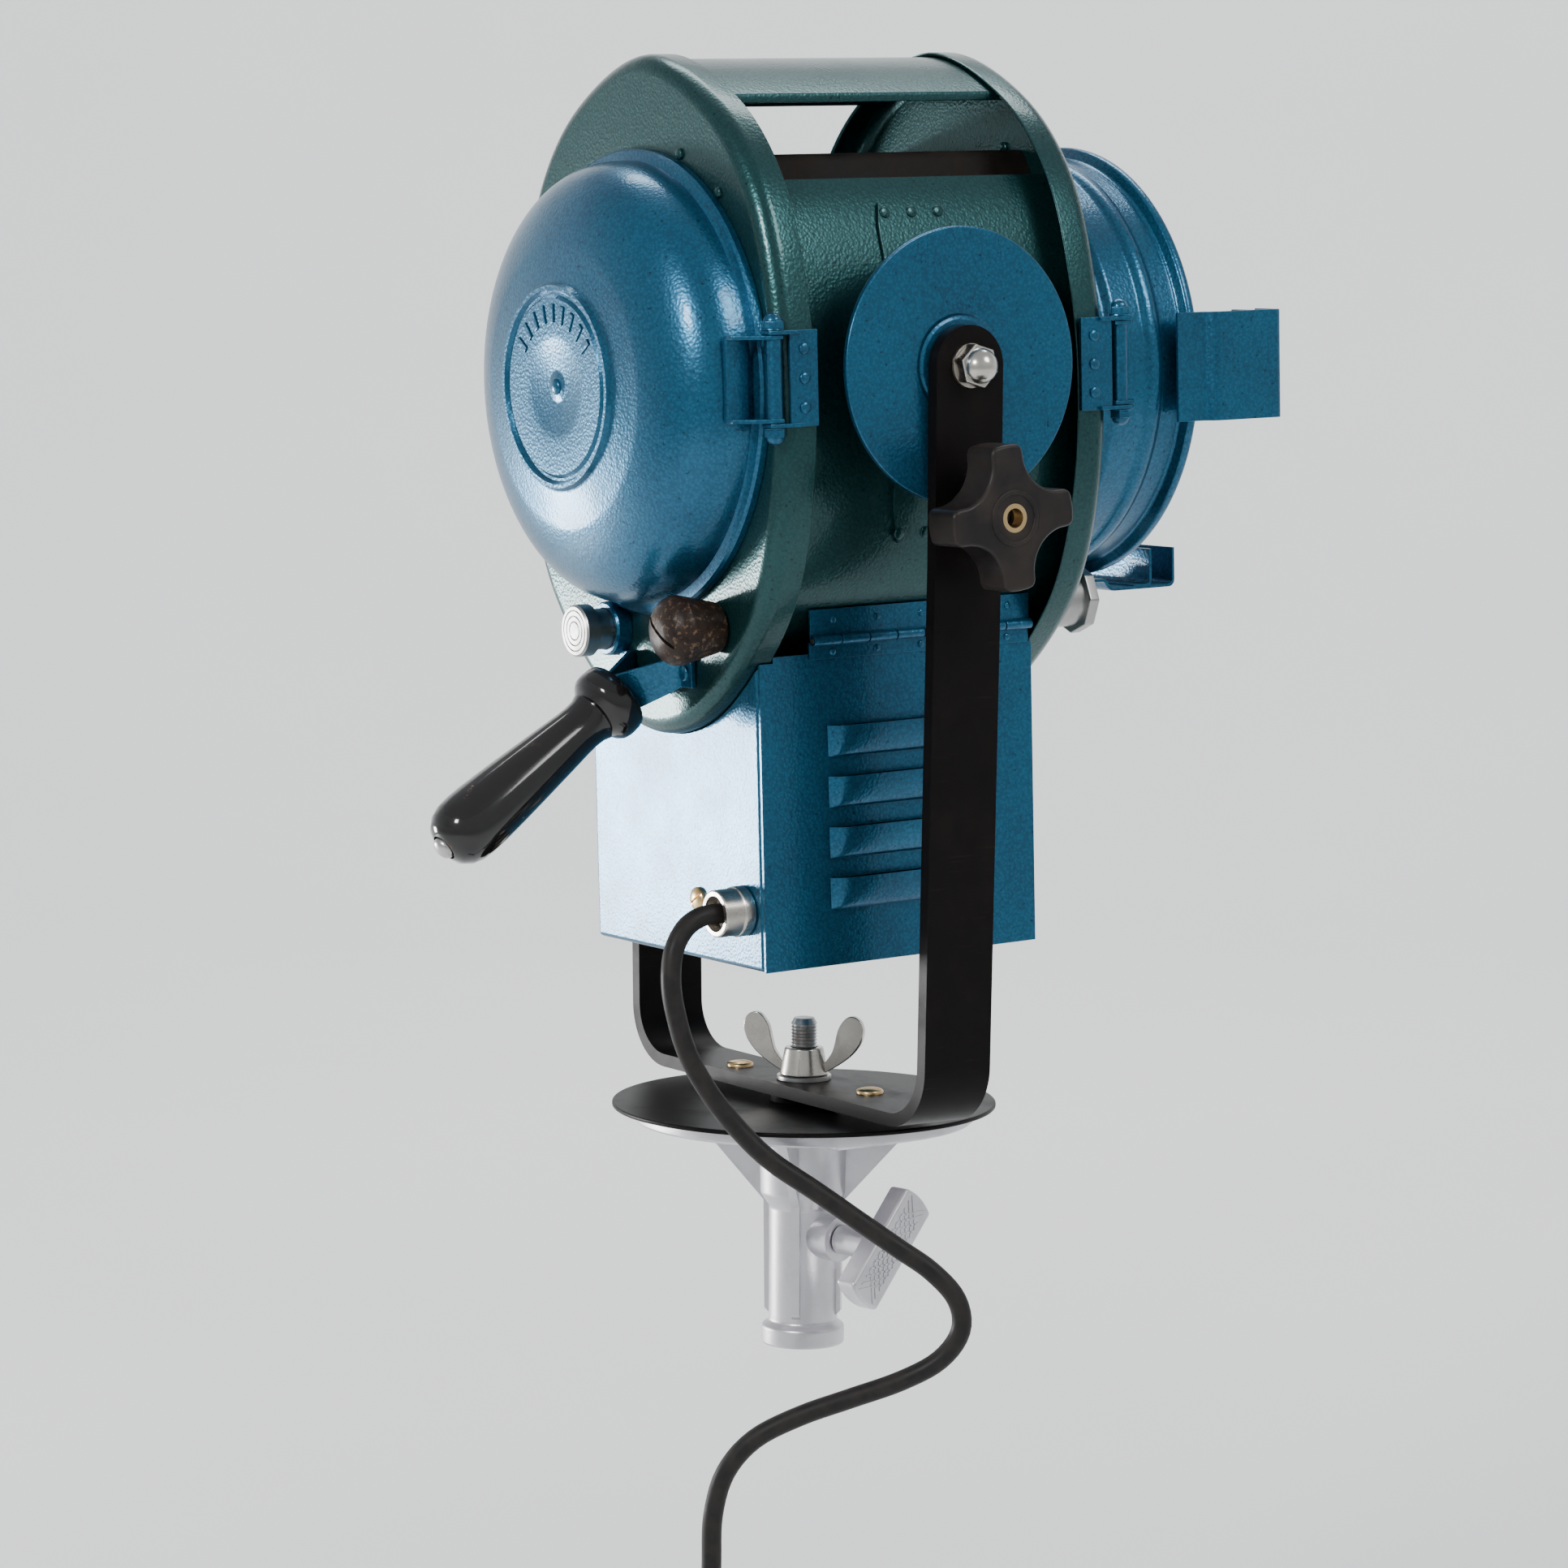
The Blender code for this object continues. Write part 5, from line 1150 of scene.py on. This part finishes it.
def build_hinge_pin(label, pin_y):
    reach = HINGE_HALF + 0.0005
    shaft = rod("shaft", (HINGE_X, pin_y, HINGE_Z - reach), (HINGE_X, pin_y, HINGE_Z + reach), 0.0021, 20)
    caps = [acorn_shape("cap", (HINGE_X, pin_y, HINGE_Z + way * (HINGE_HALF + GAP)), (0, 0, way), 0.5, 10)
            for way in (-1, 1)]
    pin = register(merged(label + "_pin_skin", [shaft] + caps), label + "_hinge_pin")
    pin.data.materials[0] = FINISH["hammer_blue"]


def dome_outline():
    edge, power = END_Y + GAP, 2.7
    base, rise = edge + 0.0055, COVER_DEPTH - 0.0055
    top = base + rise
    ring_r, groove = 0.0455, 0.0013
    points = [(0.0, top - 0.0010), (0.0060, top - 0.0024), (0.0075, top - 0.0026), (0.0200, top - 0.0016),
              (0.0240, top - 0.0009), (0.0385, top - 0.0009), (0.0400, top - 0.0009 - groove),
              (0.0412, top - 0.0009 - groove), (0.0425, top - 0.0004), (ring_r - 0.0012, top - 0.0004),
              (ring_r, top - 0.0012 - groove), (ring_r + 0.0012, top - 0.0016 - groove)]
    first = 32
    for k in range(22):
        angle = radians(first + k * (90 - first) / 21)
        radius = 0.0975 * sin(angle) ** (2 / power)
        height = rise * max(cos(angle), 0.0) ** (2 / power)
        if radius > ring_r + 0.004:
            points.append((radius, base + height))
    points += [(0.0975, base + 0.0002), (COVER_R - 0.0020, base - 0.0006), (COVER_R + 0.0005, base - 0.0012),
               (COVER_R + 0.0015, base - 0.0025), (COVER_R + 0.0015, edge)]
    return points


def embossed_dashes(height):
    """A plain arc of raised dashes over the dome's middle."""
    dashes = []
    for k in range(9):
        angle = radians(-56 + 14 * k)
        out = Vector((sin(angle), 0, cos(angle)))
        across = Vector((out.z, 0, -out.x))
        centre = Vector((0, height, LENS_Z)) + out * 0.0320
        corners = [centre + out * a * 0.0042 + across * b * 0.0016
                   for a, b in ((-1, -1), (1, -1), (1, 1), (-1, 1))]
        dashes.append(soften(prism("dash", corners, (0, 0.0008, 0)), 0.0004, 2))
    return dashes


def build_rear_cover():
    skin = turned("dome", shell_profile(dome_outline(), SHEET), (0, 0, LENS_Z), (0, 1, 0), 160)
    top = END_Y + GAP + COVER_DEPTH
    outline = ((-0.1142, END_Y + 0.0006), (-0.1142, 0.0935), (-0.1030, 0.1065), (-0.0970, 0.1070),
               (-0.0970, 0.0950), (-0.1050, END_Y + 0.0006))
    fixed, moving = hinge_shapes(1, REAR_HINGE_Y, outline)
    leaf = soften(block("cover_leaf", (-0.0998, 0.0960, HINGE_Z - HINGE_HALF + 0.002),
                        (-0.0965, 0.1070, HINGE_Z + HINGE_HALF - 0.002)), 0.0005)
    pip = button("pip", (0, top - 0.0026, LENS_Z), (0, 1, 0), 0.0036, 0.0024)
    register(merged("rear_cover_skin", [skin, leaf, pip] + embossed_dashes(top - 0.0010) + moving),
             "rear_cover")
    register(merged("rear_hinge_skin", fixed), "rear_hinge_leaf")
    build_hinge_pin("rear", REAR_HINGE_Y)


def build_lens_door():
    front, back = -DOOR_FRONT, -DOOR_BACK
    wall = rounded([
        (DOOR_R - 0.0010, front), (DOOR_RIM_R - 0.0016, front), (DOOR_RIM_R, front - 0.0016),
        (DOOR_RIM_R, front - 0.0048),
        (DOOR_R, front - 0.0070), (DOOR_R, 0.1288), (DOOR_R + 0.0018, 0.1268), (DOOR_R + 0.0024, 0.1240),
        (DOOR_R + 0.0018, 0.1212), (DOOR_R, 0.1192), (DOOR_R, 0.1040), (DOOR_R - 0.0025, 0.1005),
        (DOOR_R - 0.0025, back)],
        0.0012, 3)
    inner = [(r - SHEET, h) for r, h in wall][::-1]
    inner[-1] = (inner[-1][0] - 0.0002, front)
    skin = turned("wall", wall + inner, (0, 0, LENS_Z), (0, -1, 0), 160)
    outline = ((-0.1142, END_Y + 0.0006), (-0.1142, 0.0970), (-0.1030, 0.1060), (-0.0912, 0.1092),
               (-0.0912, 0.1010), (-0.1040, END_Y + 0.0006))
    fixed, moving = hinge_shapes(-1, FRONT_HINGE_Y, outline)
    register(merged("lens_door_skin", [skin] + moving), "lens_door")
    register(merged("front_hinge_skin", fixed), "front_hinge_leaf")
    build_hinge_pin("front", FRONT_HINGE_Y)

    inside = DOOR_R - SHEET - GAP
    ring = rounded([(0.0760, 0.1190), (inside, 0.1190), (inside, 0.1100), (inside - 0.0016, 0.1100),
                    (inside - 0.0016, 0.1174), (0.0760, 0.1174)], 0.0006, 3)
    register(turned("lens_frame_skin", ring, (0, 0, LENS_Z), (0, -1, 0), 128), "lens_frame")
    clip = rounded([(0.0775, 0.1246), (inside, 0.1246), (inside, 0.1193), (0.0809, 0.1193), (0.0809, 0.1231),
                    (0.0775, 0.1231)], 0.0005, 3)
    register(turned("lens_clip_skin", clip, (0, 0, LENS_Z), (0, -1, 0), 128), "lens_clip_ring")
    back_face, rings = 0.1193, 9
    lens = [(0.0, back_face + 0.0080)]
    zone = 0.0765 / rings
    for i in range(rings):
        for k in range(1, 4):
            r = zone * (i + k / 3) - (0.0003 if k == 3 else 0.0)
            drop = 0.0036 * ((k / 3) ** 1.5) * (0.35 + 0.65 * i / rings)
            lens.append((r, back_face + 0.0080 - drop))
        if i < rings - 1:
            lens.append((zone * (i + 1), back_face + 0.0080))
    lens += [(0.0768, back_face + 0.0028), (0.0806, back_face + 0.0028), (0.0806, back_face),
             (0.0, back_face)]
    register(turned("fresnel_lens_skin", lens, (0, 0, LENS_Z), (0, -1, 0), 128, 20), "fresnel_lens")


def channel_point(over, up, radius, depth, across):
    """A point of the accessory channel that lies (over, up) of the optical axis."""
    return (over * radius - up * across, -depth, LENS_Z + up * radius + over * across)


def build_accessory_brackets():
    half = 0.0245
    hook = rounded(((0.1003, 0.1320), (0.1003, 0.1480), (0.1050, 0.1510), (0.1050, 0.1870), (0.0880, 0.1870)),
                   0.0022, 5)
    inner = rounded(((0.1042, 0.1640), (0.1042, 0.1735), (0.0880, 0.1735)), 0.0018, 4)
    for label, over, up in (("left", -1, 0), ("right", 1, 0), ("bottom", 0, -1)):
        pieces = []
        for section in (hook, inner):
            rows = [[channel_point(over, up, r, d, a) for r, d in section] for a in (-half, half)]
            pieces.append(soften(sheet("strip", rows, 0.0015), 0.0003))
        for across in (-0.012, 0.012):
            place = channel_point(over, up, 0.1003, 0.1395, across)
            pieces.append(button("rivet", place, (over, 0, up), 0.0030, 0.0014))
        register(merged("accessory_skin_" + label, pieces), "accessory_bracket_" + label)


def build_catches():
    x = 0.1116
    section = rounded(((x, 0.0705), (x, 0.0880), (x - 0.0075, 0.0925), (x - 0.0066, 0.0985)), 0.002, 4)
    for node, side in (("rear_catch", 1), ("front_catch", -1)):
        rows = [[(px, side * y, z) for px, y in section] for z in (-0.0155, 0.0025)]
        strip = soften(sheet("strip", rows, 0.0010, offset=float(side)), 0.0002)
        rivets = [button("rivet", (x, side * 0.0775, z), (1, 0, 0), 0.0022, 0.0011)
                  for z in (-0.0115, -0.0015)]
        register(merged(node + "_skin", [strip] + rivets), node)


# ---- handle, controls and optics ----
def build_handle():
    line = Vector((0, cos(HANDLE_SLOPE), -sin(HANDLE_SLOPE)))
    up = Vector((0, sin(HANDLE_SLOPE), cos(HANDLE_SLOPE)))
    upright = Vector((0, 0, 1))
    start = Vector((HANDLE_X, 0.1080, -0.1420))
    pieces = []
    for side in (-1, 1):
        foot_x, foot_y, foot_z = HANDLE_X + side * 0.021, END_Y + 0.0016, -0.1330
        path = [Vector((foot_x + side * 0.009, foot_y, foot_z)), Vector((foot_x, foot_y, foot_z)),
                Vector((foot_x - side * 0.002, foot_y + 0.0025, foot_z - 0.0005)),
                Vector((HANDLE_X + side * 0.0035, start.y - 0.001, start.z + 0.0005)),
                Vector((HANDLE_X + side * 0.0035, start.y, start.z)) + line * 0.010]
        reach = [upright * 0.0065, upright * 0.0065, upright * 0.0075, up * 0.0095, up * 0.0060]
        rows = [[point + height * way for point, height in zip(path, reach)] for way in (-1, 1)]
        pieces.append(soften(sheet("strap", rows, 0.0025, offset=0.0), 0.0005))
        pieces.append(button("strap_screw", (foot_x + side * 0.0035, foot_y + 0.0012, foot_z), (0, 1, 0),
                             0.0036, 0.0018))
    pieces.append(rod("tang", start + line * 0.002, start + line * 0.014, 0.0062, 32))
    register(merged("handle_bracket_skin", pieces), "handle_bracket")

    outer = [(0.0058, GRIP_L - 0.0022), (0.0062, GRIP_L - 0.0004), (0.0074, 0.1072), (0.0105, 0.1057),
             (0.0136, 0.1020),
             (0.0152, 0.0975), (0.0157, 0.0920), (0.0156, 0.0850), (0.0150, 0.0750), (0.0141, 0.0630),
             (0.0130, 0.0500),
             (0.0119, 0.0370), (0.0112, 0.0290), (0.0109, 0.0235), (0.0111, 0.0190), (0.0118, 0.0165),
             (0.0121, 0.0158),
             (0.0113, 0.0150), (0.0122, 0.0142), (0.0150, 0.0120), (0.0166, 0.0100), (0.0172, 0.0070),
             (0.0170, 0.0030),
             (0.0164, 0.0008), (0.0155, 0.0), (0.0118, 0.0), (0.0118, 0.014), (0.0, 0.014)]
    grip_start = start + line * 0.002
    register(turned("handle_grip_skin", [(0.0, GRIP_L - 0.0022)] + outer, grip_start, line, 96),
             "handle_grip")
    end = grip_start + line * (GRIP_L - 0.0019)
    register(button("handle_bolt_skin", end, line, 0.0053, 0.0050), "handle_bolt")


def build_controls():
    face = END_Y + 2 * GAP
    rear = rounded([(0.0, 0.0305), (0.0062, 0.0300), (0.0112, 0.0278), (0.0146, 0.0240), (0.0155, 0.0205),
                    (0.0150, 0.0180),
                    (0.0110, 0.0), (0.0, 0.0)], 0.0020, 4)
    knob = turned("knob", rear, (FOCUS_X, face, FOCUS_Z), (0, 1, 0), 96)
    lean = radians(35)
    along = Vector((cos(lean), 0, sin(lean)))
    side = Vector((-along.z, 0, along.x)) * 0.0008
    centre = Vector((FOCUS_X, face + 0.0272, FOCUS_Z))
    slot_box = prism("slot", [centre - along * 0.02 - side, centre + along * 0.02 - side,
                              centre + along * 0.02 + side, centre - along * 0.02 + side], (0, 0.02, 0))
    register(combined("focus_knob_skin", [knob, slot_box], "DIFFERENCE"), "focus_knob_rear")
    front = rounded([(0.0, 0.0165), (0.0125, 0.0165), (0.0125, 0.0), (0.0035, 0.0), (0.0035, 0.0090),
                     (0.0, 0.0090)], 0.0006, 3)
    body = turned("collar", front, (FOCUS_X, -face, FOCUS_Z), (0, -1, 0), 64)
    head = soften(rod("octagon", (FOCUS_X, -face - 0.0158, FOCUS_Z), (FOCUS_X, -face - 0.0215, FOCUS_Z),
                      0.0160, 8), 0.0009, 3)
    register(merged("octagon_knob_skin", [body, head]), "focus_knob_front")
    register(rod("focus_screw_skin", (FOCUS_X, -0.0965, FOCUS_Z), (FOCUS_X, 0.0965, FOCUS_Z), 0.0032, 24),
             "focus_screw")

    rings = []
    for radius in (0.0095, 0.0070, 0.0045):
        rings += [(radius, 0.0225), (radius - 0.0004, 0.0220), (radius - 0.0008, 0.0225)]
    shape = [(0.0, 0.0225)] + rings[::-1] + [(0.0108, 0.0225), (0.0117, 0.0216), (0.0117, 0.0155),
                                             (0.0092, 0.0145),
                                             (0.0092, 0.0), (0.0, 0.0)]
    knob = turned("switch", shape, (SWITCH_X, face, SWITCH_Z), (0, 1, 0), 72, 25)
    screw = rod("set_screw", (SWITCH_X - 0.012, face + 0.007, SWITCH_Z),
                (SWITCH_X - 0.0070, face + 0.007, SWITCH_Z), 0.0015, 20)
    knob = combined("switch_cap", [knob, screw], "DIFFERENCE")
    boss = [(0.0096, END_Y + 0.0003), (0.0096, END_Y + 0.0075), (0.0112, END_Y + 0.0075),
            (0.0120, END_Y + 0.0066),
            (0.0124, END_Y + 0.0003), (0.0096, END_Y + 0.0003)]
    place_piece(turned("switch_boss", boss, (SWITCH_X, 0, SWITCH_Z), (0, 1, 0), 64), "head", "hammer_blue")
    shaft = rod("shaft", (SWITCH_X, 0.0795, SWITCH_Z), (SWITCH_X, face + 0.002, SWITCH_Z), 0.003, 24)
    register(merged("switch_knob_skin", [knob, shaft]), "switch_knob")


def build_optics():
    carriage_t = 0.004
    seat = RAIL_Z + RAIL_R + GAP + carriage_t + GAP
    holder = rounded([(0.0, seat + 0.022), (0.0130, seat + 0.022), (0.0130, seat + 0.040),
                      (0.0200, seat + 0.040),
                      (0.0200, seat + 0.006), (0.0230, seat + 0.006), (0.0230, seat), (0.0, seat)], 0.001, 3)
    register(turned("lamp_holder_skin", holder, (0, 0, 0), (0, 0, 1), 64), "lamp_holder")
    low = seat + 0.022 + GAP
    bulb = rounded([(0.0, LENS_Z + 0.034), (0.0100, LENS_Z + 0.031), (0.0165, LENS_Z + 0.023),
                    (0.0190, LENS_Z + 0.012),
                    (0.0190, LENS_Z - 0.030), (0.0126, LENS_Z - 0.042), (0.0126, low), (0.0, low)], 0.005, 5)
    register(turned("lamp_bulb_skin", bulb, (0, 0, 0), (0, 0, 1), 64), "lamp_bulb")
    curve_r, rim_r, rim_y = 0.084, 0.052, 0.031
    mirror = []
    for step in range(13):
        angle = asin(rim_r / curve_r) * step / 12
        mirror.append((curve_r * sin(angle), curve_r * cos(angle) - sqrt(curve_r ** 2 - rim_r ** 2)))
    bowl = turned("bowl", shell_profile(mirror, 0.0012), (0, rim_y, LENS_Z), (0, 1, 0), 96)
    stay = soften(block("stay", (-0.009, rim_y + 0.001, seat), (0.009, rim_y + 0.0035, LENS_Z - 0.044)),
                  0.0004)
    register(merged("reflector_skin", [bowl, stay]), "reflector")


def finish_cad_nodes():
    """The plain inner nodes keep their CAD meshes and get the same finishes."""
    for name, node in frame["nodes"].items():
        if not node.hide_render:
            node.data.materials.clear()
            node.data.materials.append(FINISH[SLOT_OF[name]])


build_socket()
build_socket_screw()
build_yoke()
build_pivots()
build_tilt_clamp()
build_end_plate("rear_flange", 1)
build_end_plate("front_flange", -1)
build_plate_screws()
build_body()
build_box()
build_flap()
build_gland()
build_rear_cover()
build_lens_door()
build_accessory_brackets()
build_catches()
build_handle()
build_controls()
build_optics()
finish_cad_nodes()
